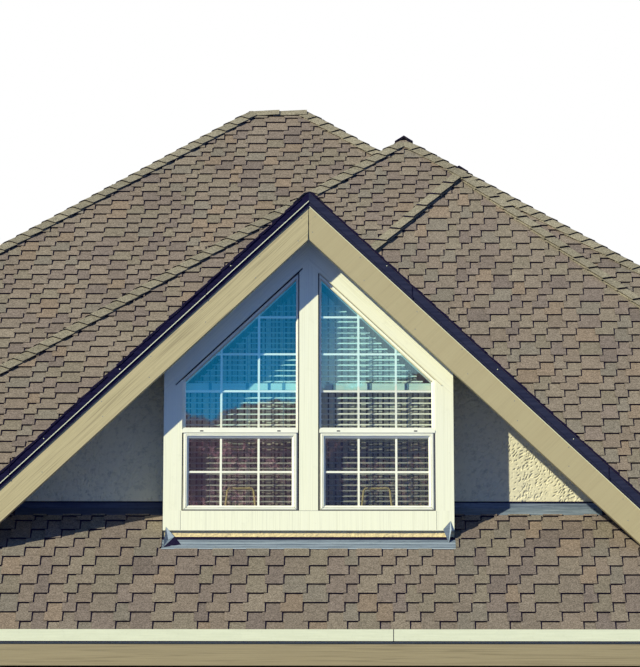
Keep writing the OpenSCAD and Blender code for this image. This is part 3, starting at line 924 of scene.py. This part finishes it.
def caps():
    """Cap shingles on the hips and the ridges."""
    top = on_front(HIP_X, HIP_RUN)
    left_foot = on_front(-ROOF_HALF, left_hip(-ROOF_HALF))
    right_foot = on_front(ROOF_HALF, right_hip(ROOF_HALF))
    back = place(HIP_X, BACK, FRONT_TOP)
    add_caps("hip_cap_tabs_left", [(left_foot, top, FRONT, LEFT)], ["hip_cap_left"], 41, 0.09)
    add_caps("hip_cap_tabs_right", [(right_foot, top, FRONT, RIGHT)], ["hip_cap_right"], 42, 0.09)
    add_caps("main_ridge_tabs", [(back, top - Vector((0, 0.03, 0)), LEFT, RIGHT)], ["main_ridge_cap"], 43)
    peak = Solids()
    ridge_end(peak, top + Vector((0, -0.045, 0.008)), 0.11)
    make("main_ridge_end", peak, ROOFING)
    ridge_left = on_front(RIDGE_LEFT, RIDGE_RUN, BACK_DROP)
    ridge_right = on_front(RIDGE_RIGHT, RIDGE_RUN, BACK_DROP)
    foot = on_front(-ROOF_HALF, RIDGE_RUN - RIDGE_LEFT - ROOF_HALF, BACK_DROP)
    valley = on_front(VALLEY_X, HIP_RUN - HIP_X + VALLEY_X + BACK_DROP, BACK_DROP)
    runs = [(foot, ridge_left, BACK_FRONT, BACK_LEFT), (valley, ridge_right, BACK_FRONT, BACK_RIGHT)]
    runs.append((ridge_right, ridge_left, BACK_FRONT, REAR))
    add_caps("back_hip_tabs", runs, ["back_hip_cap"], 44)
    near_caps()
    solids = Solids()
    gable = [Vector((sign * math.sin(GABLE), 0, math.cos(GABLE))) for sign in SIDES.values()]
    ends = [place(0, depth, ROOF_PEAK - 0.014) for depth in (ROOF_FRONT, VALLEY_RUN + 0.05)]
    cap_run(solids, *ends, gable, 0.15, 47)
    make("dormer_ridge_tabs", solids, ROOFING, ["dormer_ridge_cap"])


def near_caps():
    """Cap shingles along the two lines where the wider courses meet the narrower ones."""
    solids = Solids()
    past = 0.03
    top = on_front(*NEAR_TOP) + FRONT.up * past
    tilt = Vector((0.10, 0, 0))
    normals = [(FRONT.normal - tilt).normalized(), (FRONT.normal + tilt).normalized()]
    for i, (x, exposure, short) in enumerate(((-0.15, 0.27, 0.09), (EDGE, 0.24, 0.0))):
        foot = on_front(x, near_edge(x))
        head = top - (top - foot).normalized() * short
        cap_run(solids, foot, head, normals, CAP_WIDTH, 61 + i, exposure, 0.036)
    ridge_end(solids, top + FRONT.normal * 0.030 - FRONT.up * 0.012, 0.03)
    trim_ends(make("field_joint_tabs", solids, ROOFING))


def ridge_end(solids, at, depth):
    """Dark folded end of the last cap, which stands over the tops of two capped lines."""
    wing = 0.083
    fall = 0.66
    low = [at + Vector((x, 0, -abs(x) * fall)) for x in (-wing, 0, wing)]
    outline = [*low, *(p + Vector((0, 0, 0.015)) for p in reversed(low))]
    solids.prism(outline, [p + Vector((0, depth, 0)) for p in outline], 1, 0, CAP_TONE)


def add_caps(name, runs, replaced, seed, short=0.0):
    """Caps on one or more hips, each from its foot to a little short of its head over two slopes."""
    solids = Solids()
    for i, (start, end, first, second) in enumerate(runs):
        way = (end - start).normalized()
        before = 0.12 if abs(start.x) > EDGE else 0.0
        low = start - way * before
        high = end - way * short
        cap_run(solids, low, high, [first.normal, second.normal], CAP_WIDTH, seed + 10 * i, 0.178, 0.032)
    trim_ends(make(name, solids, ROOFING, replaced))


def trim_ends(obj):
    """Cuts a piece off at the planes of the side walls and the back wall."""
    shape = bmesh.new()
    shape.from_mesh(obj.data)
    planes = [(Vector((sign * EDGE, 0, 0)), Vector((sign, 0, 0))) for sign in SIDES.values()]
    planes.append((place(0, BACK - FINE, 0), Vector((0, 1, 0))))
    for point, outward in planes:
        parts = [*shape.verts, *shape.edges, *shape.faces]
        bmesh.ops.bisect_plane(shape, geom=parts, plane_co=point, plane_no=outward, clear_outer=True)
        bmesh.ops.holes_fill(shape, edges=[edge for edge in shape.edges if edge.is_boundary])
    shape.to_mesh(obj.data)
    shape.free()


# Dormer boards and metal
def foot_x(peak, depth):
    """Distance from the middle at which a gable line meets the main roof."""
    return (peak - FOOT - depth) / SLOPE


def barge_outline(depth, ragged):
    """Outline of the right barge board at one depth, with a ragged, open plumb cut at the peak."""
    outline = [on_rake(foot_x(peak, depth), peak) for peak in (BARGE_LOW, BARGE_PEAK)]
    outline.append((0.0, BARGE_PEAK))
    for i, gap in enumerate(ragged):
        share = (i + 1) / len(ragged)
        outline.append((gap, BARGE_PEAK + (BARGE_LOW - BARGE_PEAK) * share - gap * SLOPE * share))
    return outline


def barge_boards():
    """Sawn barge boards with an open joint at the peak, and nail heads."""
    rng = random.Random(5)
    gaps = (0.0005, 0.001, 0.0015, 0.003, 0.0025, 0.004, 0.0035, 0.005, 0.0045, 0.006)
    for side, sign in SIDES.items():
        ragged = [gap * rng.uniform(0.7, 1.3) for gap in gaps]
        faces = []
        for depth in (BOARD + BARGE_THICK, BOARD):
            faces.append([place(x * sign, depth, z) for x, z in barge_outline(depth, ragged)])
        solids = Solids()
        solids.prism(*faces)
        make("barge_face_" + side, solids, [BARGE[side]], ["barge_board_" + side], 0.003)
        head = 0.0038
        nails = Solids()
        for at in (0.06, 0.42, 0.83, 1.24, 1.65, 2.06, 2.47):
            for share in (0.25, 0.75):
                x = at + rng.uniform(-0.03, 0.03)
                z = rake(BARGE_LOW, x) + (BARGE_PEAK - BARGE_LOW) * (share + rng.uniform(-0.06, 0.06))
                centre = place(x * sign, BOARD - 0.0006, z)
                nails.rod([centre, centre + Vector((0, 0.003, 0))], head, 8)
        make("barge_nails_" + side, nails, [LEAD])


def drip_edges():
    """Folded metal along the roof edge: an upper face, a hem and a lower face over the board. At the left the
    hem is cream, a painted highlight; at the right a dark band below the lower face is painted shadow, and a
    cream line on the board just under it a painted highlight.
    """
    front = BOARD - 0.015
    nail_line = 2.742
    lap_line = 2.655
    upper = (2.688, 2.762, 0.0, 0.0025, 0)
    bands = {
        "left": [upper, (2.642, 2.680, 0.006, 0.0085, 0), (2.680, 2.688, -0.004, 0.004, 1)],
        "right": [
            upper, (2.656, 2.680, 0.006, 0.0085, 0), (2.680, 2.688, -0.004, 0.004, 0),
            (2.650, 2.657, 0.004, 0.008, 2), (2.642, 2.649, 0.010, 0.014, 1),
        ],
    }
    head = 0.0035
    for side, sign in SIDES.items():
        solids = Solids(sign)
        for low, high, near, far, slot in bands[side]:
            add_band(solids, low, high, front + near, front + far, slot)
        for x in (0.62, 1.49, 2.08, 2.61):
            z = rake(nail_line - 0.02 * (x % 0.3) / 0.3, x)
            solids.bar((x - head, front - head, z - head), (x + head, front, z + head), 1)
        lap = sign * 0.004
        for x in (0.817, 2.35):
            z = rake(lap_line, x)
            outline = [(x, z), (x + lap, z - lap), (x + lap, z + 0.105), (x, z + 0.107)]
            solids.plate(outline, front - 0.0045, front, 2)
        metals = [DRIP[side], GUTTER, DARK_EDGE_AND_SHADE]
        make("drip_fold_" + side, solids, metals, ["drip_edge_" + side])


def add_band(solids, low, high, front, back, slot):
    """Strip along one rake between two gable lines, cut off by the main roof."""
    ends = [on_rake(foot_x(peak, front), peak) for peak in (low, high)]
    solids.plate([(0, low), *ends, (0, high)], front, back, slot)


def starter_edges():
    """Edges of the lapped shingles and starter strip that show over the drip edge."""
    low = ROOF_PEAK - 0.003
    step = DORMER_COURSE * math.cos(GABLE)
    reach = foot_x(ROOF_PEAK, ROOF_FRONT)
    for side, sign in SIDES.items():
        rng = random.Random(61 + sign)
        solids = Solids(sign)
        at = 0.09
        while at < reach - 0.1:
            far = min(at + step, reach - 0.03)
            edge = ROOF_FRONT - 0.004 - rng.uniform(0, 0.009)
            outline = [on_rake(x, low + rise) for x, rise in ((at, 0), (far, 0), (far, 0.026), (at, 0.014))]
            solids.plate(outline, edge, ROOF_FRONT + 0.03, 1, 1, CAP_TONE)
            at = far
        make("starter_strip_" + side, solids, ROOFING)


def valleys():
    """Open metal valleys between the dormer's slopes and the main roof."""
    up = Vector((0, math.cos(MAIN), math.sin(MAIN)))
    normal = Vector((0, -math.sin(MAIN), math.cos(MAIN)))
    head = on_front(0, VALLEY_RUN)
    reach = 0.14
    onto = Vector((0, -reach, 0))
    thick = 0.003
    for side, sign in SIDES.items():
        solids = Solids()
        foot = on_front(sign * (VALLEY_RUN - BOARD) / SLOPE, BOARD)
        spread = Vector((sign * reach, 0, 0))
        base = [foot, foot + spread, head + spread + up * 0.02, head]
        solids.prism(base, [p + normal * thick for p in base])
        gable = Vector((sign * math.sin(GABLE), 0, math.cos(GABLE)))
        second = [foot, head, head + onto, foot + onto * 0.1]
        solids.prism(second, [p + gable * thick for p in second])
        make("valley_metal_" + side, solids, [LEAD])


# Window box
BLIND_LEFT = FRAME_IN + 0.012
BLIND_RIGHT = FRAME_OUT - 0.015
BLIND_DEPTH = FACE + 0.135
BLIND_PEAK = FRAME_PEAK - 0.06


def raked(low, peak, inner, outer):
    """Outline of a raked opening on the right, anticlockwise from its bottom inner corner."""
    return [(inner, low), (outer, low), on_rake(outer, peak), on_rake(inner, peak)]


def window_unit(side):
    """One unit: a fixed raked light over an opening sash, with its rail, bars and handle."""
    solids = Solids(SIDES[side])
    face = FACE + 0.008
    deep = FACE + 0.088
    set_back = FACE + 0.021
    rail_low = SASH_TOP + 0.002
    outer = raked(rail_low, FRAME_PEAK, FRAME_IN, FRAME_OUT)
    inner = raked(LIGHT_FOOT, GLASS_PEAK, LIGHT_LO.x, LIGHT_HI.x)
    section = ((0, 0), (0.42, 0), (0.46, 0.002), (0.58, 0.002), (0.62, 0), (1.0, 0.005))
    profile = [(share, set_back + depth) for share, depth in section]
    solids.ring(outer, inner, [*profile, (1.0, deep), (0, deep)])
    left = LIGHT_LO.x - 0.004
    right = LIGHT_HI.x + 0.002
    low = GLASS_PEAK - 0.005
    high = GLASS_PEAK + 0.008
    stop = [on_rake(left, low), on_rake(right, low), on_rake(right, high), on_rake(left, high)]
    solids.plate(stop, set_back - 0.003, set_back + 0.004, 2)
    gap = 0.003
    low_outer = oblong(FRAME_IN, APRON_TOP, FRAME_OUT, rail_low)
    low_inner = oblong(SASH_LO.x - gap, SASH_FOOT - gap, SASH_HI.x + gap, rail_low - 0.001)
    solids.ring(low_outer, low_inner, [(0, face), (1, face), (1, deep), (0, deep)])
    add_rail(solids, rail_low, LIGHT_FOOT)
    add_gaps(solids, face - 0.001)
    materials = [VINYL, DARK_EDGE_AND_SHADE, JAMB]
    make("window_unit_" + side, solids, materials, ["window_frame_" + side], 0.0012)
    add_sash(side)
    add_bars(side)
    add_handle(side)
    paint("upper_glass_" + side, GLASS_HIGH)
    paint("lower_glass_" + side, GLASS_LOW)


def add_gaps(solids, near):
    """Dark strips as painted shade in the gaps between a unit and the post, the side trim and the apron."""
    strips = [
        (oblong(FRAME_IN - 0.008, APRON_TOP, FRAME_IN, rake(FRAME_PEAK, FRAME_IN)), FACE + 0.012),
        (oblong(FRAME_IN, APRON_TOP, FRAME_IN + 0.005, SASH_TOP), near),
        (oblong(FRAME_OUT - 0.009, APRON_TOP, FRAME_OUT, SASH_TOP), near),
        (oblong(FRAME_IN, APRON_TOP, FRAME_OUT, SASH_FOOT - 0.001), near),
    ]
    for outline, depth in strips:
        solids.plate(outline, depth, depth + 0.004, 1)


def add_rail(solids, low, high):
    """Rail between the lights, with rounded top corners and two weep slots drawn as dark patches of painted
    shade.
    """
    left = FRAME_IN + 0.001
    right = FRAME_OUT - 0.001
    curve = 0.022
    top = high + 0.002
    outline = [(left, low), (right, low)]
    for centre, first in ((right - curve, 0), (left + curve, 90)):
        for i in range(5):
            turn = math.radians(first + i * 22.5)
            outline.append((centre + curve * math.cos(turn), top - curve + curve * math.sin(turn)))
    solids.plate(outline, FACE - 0.004, FACE + 0.012)
    # The weep slots are dark patches: painted shade in the openings
    half_slot = 0.013
    slot_low = 0.820
    for x in (0.235, 0.845):
        slot = oblong(x - half_slot, slot_low, x + half_slot, slot_low + 0.009)
        solids.plate(slot, FACE - 0.0056, FACE - 0.003, 1)


def add_sash(side):
    """Opening sash: a mitred frame with a groove and a sloping bead, and its lock."""
    face = FACE + 0.002
    outer = oblong(SASH_LO.x, SASH_FOOT, SASH_HI.x, SASH_TOP)
    inner = oblong(PANE_LO.x, PANE_FOOT, PANE_HI.x, PANE_TOP)
    section = (
        (0, 0), (0.34, -0.002), (0.38, 0.003), (0.47, 0.003), (0.51, -0.001), (0.62, 0), (0.66, 0.004),
        (0.97, 0.013), (1.0, 0.024), (1.0, 0.048), (0, 0.048),
    )
    solids = Solids(SIDES[side])
    solids.ring(outer, inner, [(share, face + depth) for share, depth in section])
    half = 0.0016
    for (ox, oz), (ix, iz) in zip(outer[:2], inner[:2]):
        (x0, z0), (x1, z1) = ((ox + (ix - ox) * share, oz + (iz - oz) * share) for share in (0.06, 0.62))
        mitre = [(x0, z0 - half), (x1, z1 - half), (x1, z1 + half), (x0, z0 + half)]
        solids.plate(mitre, face - 0.0024, face, 1)
    lock = (SASH_LO.x + SASH_HI.x) / 2
    solids.bar((lock - 0.03, FACE + 0.052, PANE_FOOT - 0.03), (lock + 0.03, FACE + 0.066, PANE_FOOT + 0.012))
    make("sash_face_" + side, solids, [VINYL, DARK_EDGE_AND_SHADE], ["sash_" + side], 0.001)


def add_bars(side):
    """Flat bars that divide both lights: between the panes above, in front of the pane below."""
    solids = Solids(SIDES[side])
    half = 0.0085
    front = LIGHT_LO.y - WALL_Y + 0.006
    proud = PANE_LO.y - WALL_Y - 0.006
    for x in (0.395, 0.692):
        solids.plate(raked(LIGHT_FOOT, GLASS_PEAK, x - half, x + half), front, front + 0.007)
        solids.plate(oblong(x - half, PANE_FOOT, x + half, PANE_TOP), proud, proud + 0.0056)
    for z in (1.170, 1.482, 1.795):
        far, near = (min(LIGHT_HI.x, (GLASS_PEAK - z + off) / SLOPE) for off in (-half, half))
        outline = [(LIGHT_LO.x, z - half), (near, z - half), (far, z + half), (LIGHT_LO.x, z + half)]
        solids.plate(outline, front + 0.0005, front + 0.0065)
    z = (PANE_LO.z + PANE_HI.z) / 2 - BOX_Z
    solids.plate(oblong(PANE_LO.x, z - half, PANE_HI.x, z + half), proud + 0.0004, proud + 0.0052)
    make("glazing_bars_" + side, solids, [VINYL], (), 0.001)


def add_handle(side):
    """Brass trapezoid of bent rod with two knobs, standing on the sill inside."""
    low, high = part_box("sash_handle_" + side)
    depth = (low.y + high.y) / 2 - WALL_Y
    base = low.z - BOX_Z
    top = high.z - BOX_Z - 0.006
    middle = (low.x + high.x) / 2
    wide = (high.x - low.x) / 2 - 0.006
    narrow = wide - 0.024
    half_path = [(wide, base), (narrow + 0.004, top - 0.02), (narrow - 0.008, top)]
    corners = [(-x, z) for x, z in half_path] + half_path[::-1]
    thick = 0.0084
    solids = Solids()
    solids.rod([place(middle + x, depth, z) for x, z in corners], thick)
    knob = Vector((0.012, 0, 0))
    for x in (-narrow + 0.035, narrow - 0.035):
        centre = place(middle + x, depth, top + 0.004)
        solids.rod([centre - knob, centre + knob], 0.0085)
    make("operator_rod_" + side, solids, [BRASS], ["sash_handle_" + side])


def blind(side):
    """Tilted slats cut to the rake, a headrail and ladder tapes, with vertical vanes behind them."""
    sign = SIDES[side]
    rng = random.Random(71 + sign)
    solids = Solids(sign)
    tilt = math.radians(39)
    half_slat = 0.0135
    thick = 0.0022
    pitch = 0.0457
    z = APRON_TOP + 0.03
    while z < rake(FRAME_PEAK - 0.08, BLIND_LEFT + 0.12):
        far = min(BLIND_RIGHT, (BLIND_PEAK - z) / SLOPE)
        droop = rng.uniform(-0.0025, 0.0025)
        slat = []
        for share, bow in ((-1, 0), (-0.4, 0.002), (0.4, 0.002), (1, 0)):
            rise = share * half_slat * math.sin(tilt)
            slat.append((BLIND_DEPTH + share * half_slat * math.cos(tilt), z + droop + rise + bow))
        section = slat + [(y, h - thick) for y, h in reversed(slat)]
        solids.prism(*([place(x * sign, y, h) for y, h in section] for x in (BLIND_LEFT, far)))
        z += pitch
    rail_low = 1.206
    rail_high = 1.262
    for x in (0.20, 0.487, 0.782):
        cord = (0.002, -0.022, -0.021, APRON_TOP + 0.02, rake(FRAME_PEAK - 0.1, x))
        clip_on_rail = (0.011, -0.034, -0.031, rail_low, rail_high)
        for half, near, far, low, high in (cord, clip_on_rail):
            solids.bar((x - half, BLIND_DEPTH + near, low), (x + half, BLIND_DEPTH + far, high), 2)
    right = BLIND_RIGHT - 0.005
    foot = APRON_TOP + 0.004
    for half, low, high, slot in ((0.03, rail_low, rail_high, 1), (0.02, foot, foot + 0.014, 0)):
        solids.bar((BLIND_LEFT, BLIND_DEPTH - half, low), (right, BLIND_DEPTH + half, high), slot)
    make("blind_slats_" + side, solids, [SLAT, HEADRAIL, TAPE], ["blind_" + side])
    add_vanes(side, rng)


def add_vanes(side, rng):
    """Vertical vanes of uneven width and tone, with dark strips between them as painted shade in the gaps."""
    vanes = Solids(SIDES[side])
    behind = BLIND_DEPTH + 0.06
    cloth = (0.86, 0.84, 0.62)
    slit = False
    x = BLIND_LEFT
    while x < BLIND_RIGHT - 0.02:
        slit = not slit
        width = rng.uniform(0.009, 0.018) if slit else rng.uniform(0.018, 0.045)
        far = min(x + width, BLIND_RIGHT)
        # Strips between the vanes are very dark, painted shade in the gaps
        warm = rng.choice((0.10, 0.16, 0.24)) if slit else rng.choice((0.54, 0.66, 0.76, 0.86))
        depth = behind + rng.uniform(0, 0.02)
        outline = raked(APRON_TOP, BLIND_PEAK, x, far)
        vanes.plate(outline, depth, depth + 0.002, 0, 0, dim(cloth, warm))
        x = far - 0.001
    make("blind_vanes_" + side, vanes, [VANE])


def head_flashings():
    """Thin metal that sheds water over each raked frame, and runs past its outer corner; the left one, in
    shade, is thicker and in the dark edge colour as painted shade.
    """
    outer = 1.051
    # The left flashing's thickness and dark colour are painted shade; the right one is thin and brown
    for side, inner, thick, metal in (("left", 0.05, 0.011, DARK_EDGE_AND_SHADE), ("right", 0.086, 0.006, JAMB)):
        solids = Solids(SIDES[side])
        tip = (outer + 0.004, rake(FRAME_PEAK + 0.005, outer))
        low = [on_rake(inner, FRAME_PEAK), on_rake(outer, FRAME_PEAK)]
        solids.plate([*low, tip, on_rake(inner, FRAME_PEAK + thick)], FACE - 0.006, FACE + 0.01)
        make("head_flashing_" + side, solids, [metal])


def kick_outs():
    """Folded corner pieces where the box's foot meets the roof: open at the left, a kite at the right. A
    paler facet on each is a painted highlight, and a dark facet at the left a painted shadow.
    """
    on_roof = FOOT + FACE + 0.006

    def corner(sign, inset, ahead, height):
        return place(sign * (BOX_HALF - inset), FACE - ahead, height)

    top = corner(-1, 0.024, 0.004, 0.030)
    fold = corner(-1, 0.092, 0.022, -0.060)
    middle = corner(-1, 0.045, 0.040, -0.088)
    foot = corner(-1, 0.008, 0.105, on_roof - 0.105)
    inner = corner(-1, 0.148, 0.071, on_roof - 0.071)
    # Left: a paler facet as painted highlight, and a dark facet as painted shadow
    left = [([top, fold, middle], 1), ([top, middle, foot], 0)]
    left += [([fold, inner, foot], 2), ([middle, fold, foot], 0)]
    top = corner(1, 0.030, 0.004, 0.078)
    fold = corner(1, 0.089, 0.018, 0.004)
    edge = corner(1, 0.024, 0.030, 0.0)
    foot = corner(1, 0.046, 0.050, on_roof - 0.050)
    # Right: a paler facet as painted highlight
    right = [([top, fold, foot], 0), ([top, foot, edge], 1)]
    for side, facets in (("left", left), ("right", right)):
        solids = Solids()
        for corners, slot in facets:
            solids.prism([p + Vector((0, 0.003, 0)) for p in corners], corners, slot)
        make("kick_out_" + side, solids, METALS)


def step_flashings():
    """Short upright sheets lapped up each side of the box, and the strip along their feet, in the darker
    flashing metal as painted shade.
    """
    wall = BOX_HALF + 0.0035
    exposure = 0.124
    sheet_length = 0.135
    for side, sign in SIDES.items():
        solids = Solids()
        for i in range(3):
            low = FACE + 0.004 + i * exposure
            high = low + sheet_length
            sheet = [(y, FOOT + y + rise) for y, rise in ((low, 0), (high, 0), (high, 0.075), (low, 0.085))]
            solids.prism(*([place(x * sign, y, z) for y, z in sheet] for x in (wall, wall + 0.0015)))
        corners = oblong(BOX_HALF + 0.003, FACE, BOX_HALF + 0.075, -0.081)
        base = [on_front(x * sign, y, 0.001) for x, y in corners]
        solids.prism(base, [p + Vector((0, 0, 0.0012)) for p in base])
        make("step_sheets_" + side, solids, [LEAD_PAINTED_SHADE], ["box_flashing_" + side])


def apron_folds():
    """Folded sheet under the box with paler bands across it, a painted highlight along its bottom edge and a
    dark band of painted shadow at its top fold, a dark strip of painted shadow just above it, and the rough
    strips over it at both ends.
    """
    solids = Solids()
    half = BOX_HALF + 0.008
    lift = Vector((0, -0.0010, 0.0020))
    # The top band in the dark slot is painted shadow under the fold, and the last paler band a painted
    # highlight on the bottom edge
    bands = (
        (-0.016, 0.121, 0, 0.002), (-0.016, 0.012, 2, 0.004), (0.050, 0.057, 1, 0.004),
        (0.086, 0.089, 1, 0.004), (0.114, 0.121, 1, 0.004),
    )
    for first, last, slot, rise in bands:
        base = [on_front(x, y, -rise) for x, y in oblong(-half, FACE - first, half, FACE - last)]
        solids.prism(base, [p + lift for p in base], slot)
    foot = FOOT + FACE
    within = BOX_HALF - 0.01
    # Dark strip as painted shadow just above the flashing
    solids.bar((-within, FACE + 0.002, foot + 0.010), (within, FACE + 0.0195, foot + 0.021), 2)
    make("apron_folds", solids, METALS, ["apron_flashing"])
    strip = Solids()
    for sign in SIDES.values():
        strip.sign = sign
        strip.bar((FRAME_OUT - FINE, FACE + 0.0175, foot + 0.004), (BOX_HALF - FINE, FACE + 0.019, -FINE))
    make("stucco_foot_strips", strip, [STUCCO_FOOT])


def board_joints():
    """Hairline joints between the apron, the side trims and the post."""
    solids = Solids()
    hair = 0.0009
    front = FACE - 0.0005
    for sign in SIDES.values():
        x = sign * (FRAME_OUT + 0.006)
        solids.bar((x - hair, front, 0.004), (x + hair, front + 0.002, APRON_TOP))
    post = FRAME_IN - 0.004
    solids.bar((-post, front, APRON_TOP - hair), (post, front + 0.002, APRON_TOP + hair))
    make("board_joints", solids, [DARK_EDGE_AND_SHADE])


# Stucco
RELIEF_PEAK = 2.612
BEAD_PEAK = 2.600
TROWEL_WAY = (0.62, 0.78)
PIT_DEPTH = 0.0054
GRAIN = 0.0008


def trowel_height(x, z):
    """Height of the worked render: flat tops broken by short slanting pits."""
    warp = noise.noise(Vector((x * 9, 0.3, z * 9))) * 0.03
    lean, climb = TROWEL_WAY
    along = x * lean + z * climb + warp
    across = x * climb - z * lean + warp
    pit = noise.noise(Vector((along * 44, across * 98, 2.7)))
    patch = noise.noise(Vector((x * 6, 5.1, z * 6)))
    share = min(max((pit + 0.45 * patch - 0.21) / 0.15, 0), 1)
    rough = noise.noise(Vector((x * 70, 8.2, z * 70)))
    return PIT_DEPTH * (1 - share) + GRAIN * rough


def stucco_relief(side):
    """Worked face of the dormer's wall beside the box, up to the soffit and down to the flashing."""
    sign = SIDES[side]
    cell = 0.004
    first = BOX_HALF - 0.008
    foot = FOOT + 0.052
    points = []
    index = {}
    column = 0
    while rake(RELIEF_PEAK, first + column * cell) > foot:
        x = first + column * cell
        row = 0
        while foot + row * cell < rake(RELIEF_PEAK, x):
            z = foot + row * cell
            index[column, row] = len(points)
            points.append(place(x * sign, -0.0015 - trowel_height(x * sign, z), z))
            row += 1
        column += 1
    faces = []
    for i, j in index:
        corners = oblong(i, j, i + 1, j + 1)[::sign]
        if all(corner in index for corner in corners):
            faces.append([index[corner] for corner in corners])
    obj = new_object("stucco_face_" + side, points, faces, [STUCCO_NEAR])
    obj.data.shade_smooth()
    finish_piece(obj)


def stucco_stops():
    """Bead along the foot of the render, over the flashing, in the dark edge colour as a painted shadow line.
    """
    far = (BEAD_PEAK - FOOT - 0.06) / SLOPE
    for side, sign in SIDES.items():
        solids = Solids(sign)
        solids.bar((BOX_HALF, -0.011, FOOT + 0.048), (far, 0.0, FOOT + 0.056))
        make("stucco_stop_" + side, solids, [DARK_EDGE_AND_SHADE])


# Eave
def eave_details():
    """Gutter brackets, its slip joint and a dark strip along its foot as painted shadow."""
    low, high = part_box("gutter")
    top = high.z - BOX_Z
    bottom = low.z - BOX_Z
    front = low.y - WALL_Y
    proud = front - 0.00005
    solids = Solids()
    seam = 0.644
    half = 0.003
    solids.bar((seam - half, proud, bottom), (seam + half, front + 0.002, top), 1)
    # Dark strip along the gutter's foot: painted shadow
    solids.bar((-EDGE, proud, bottom), (EDGE, front + 0.002, bottom + 0.008), 1)
    spacing = 0.8
    at = -4 * spacing
    while at < ROOF_HALF - 0.15:
        solids.bar((at, front + 0.004, top - 0.012), (at + 0.025, front + 0.11, top - 0.009))
        at += spacing
    make("gutter_fittings", solids, [GUTTER, DARK_EDGE_AND_SHADE])


def paint(node, material, edge=0.0):
    """Gives a CAD node its finish and, with an edge width, rounded edges."""
    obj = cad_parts[node]
    obj.data.materials.clear()
    obj.data.materials.append(material)
    if edge:
        soften(obj, edge)


def dress_nodes():
    """Finishes and edges of the CAD nodes that stay as they are."""
    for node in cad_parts:
        if node.startswith(("main_roof", "hip_slope", "back_roof", "dormer_roof")):
            paint(node, DARK_EDGE_AND_SHADE)
    for side in SIDES:
        paint("rake_trim_" + side, RAKED[side], 0.0025)
        # The left wall flashing, in shade, takes the darker flashing metal as painted shade
        paint("wall_flashing_" + side, LEAD_PAINTED_SHADE if side == "left" else LEAD)
    groups = (
        ("side_wall_left side_wall_right front_wall_left front_wall_right back_wall eave_wall", STUCCO, 0.0),
        ("window_header_left window_header_right inner_fascia attic_floor", JOIST, 0.0),
        ("box_wall_left box_wall_right", UPRIGHT, 0.003), ("box_floor eave_soffit rake_soffit", UPRIGHT, 0.0),
        ("window_trim_left window_trim_right window_post", UPRIGHT, 0.0025), ("window_apron", LEVEL, 0.0025),
        ("box_base", STUCCO_FOOT, 0.0), ("fascia", FASCIA, 0.003), ("gutter", GUTTER, 0.001),
    )
    for nodes, material, edge in groups:
        for node in nodes.split():
            paint(node, material, edge)


add_camera()
add_sun("key", azimuth=50.3, elevation=30.6, strength=5.8, colour=(1.0, 0.955, 0.745), spread=0.7)
add_sun("fill", azimuth=215, elevation=35, strength=0.9, colour=(0.95, 0.96, 1.0), spread=40)
add_world()
add_floor()
dress_nodes()
main_shingles()
section_shingles()
for side in SIDES:
    dormer_shingles(side)
    window_unit(side)
    blind(side)
caps()
barge_boards()
drip_edges()
starter_edges()
valleys()
head_flashings()
kick_outs()
step_flashings()
apron_folds()
board_joints()
for side in SIDES:
    stucco_relief(side)
stucco_stops()
eave_details()

bpy.context.scene.view_settings.view_transform = "Standard"
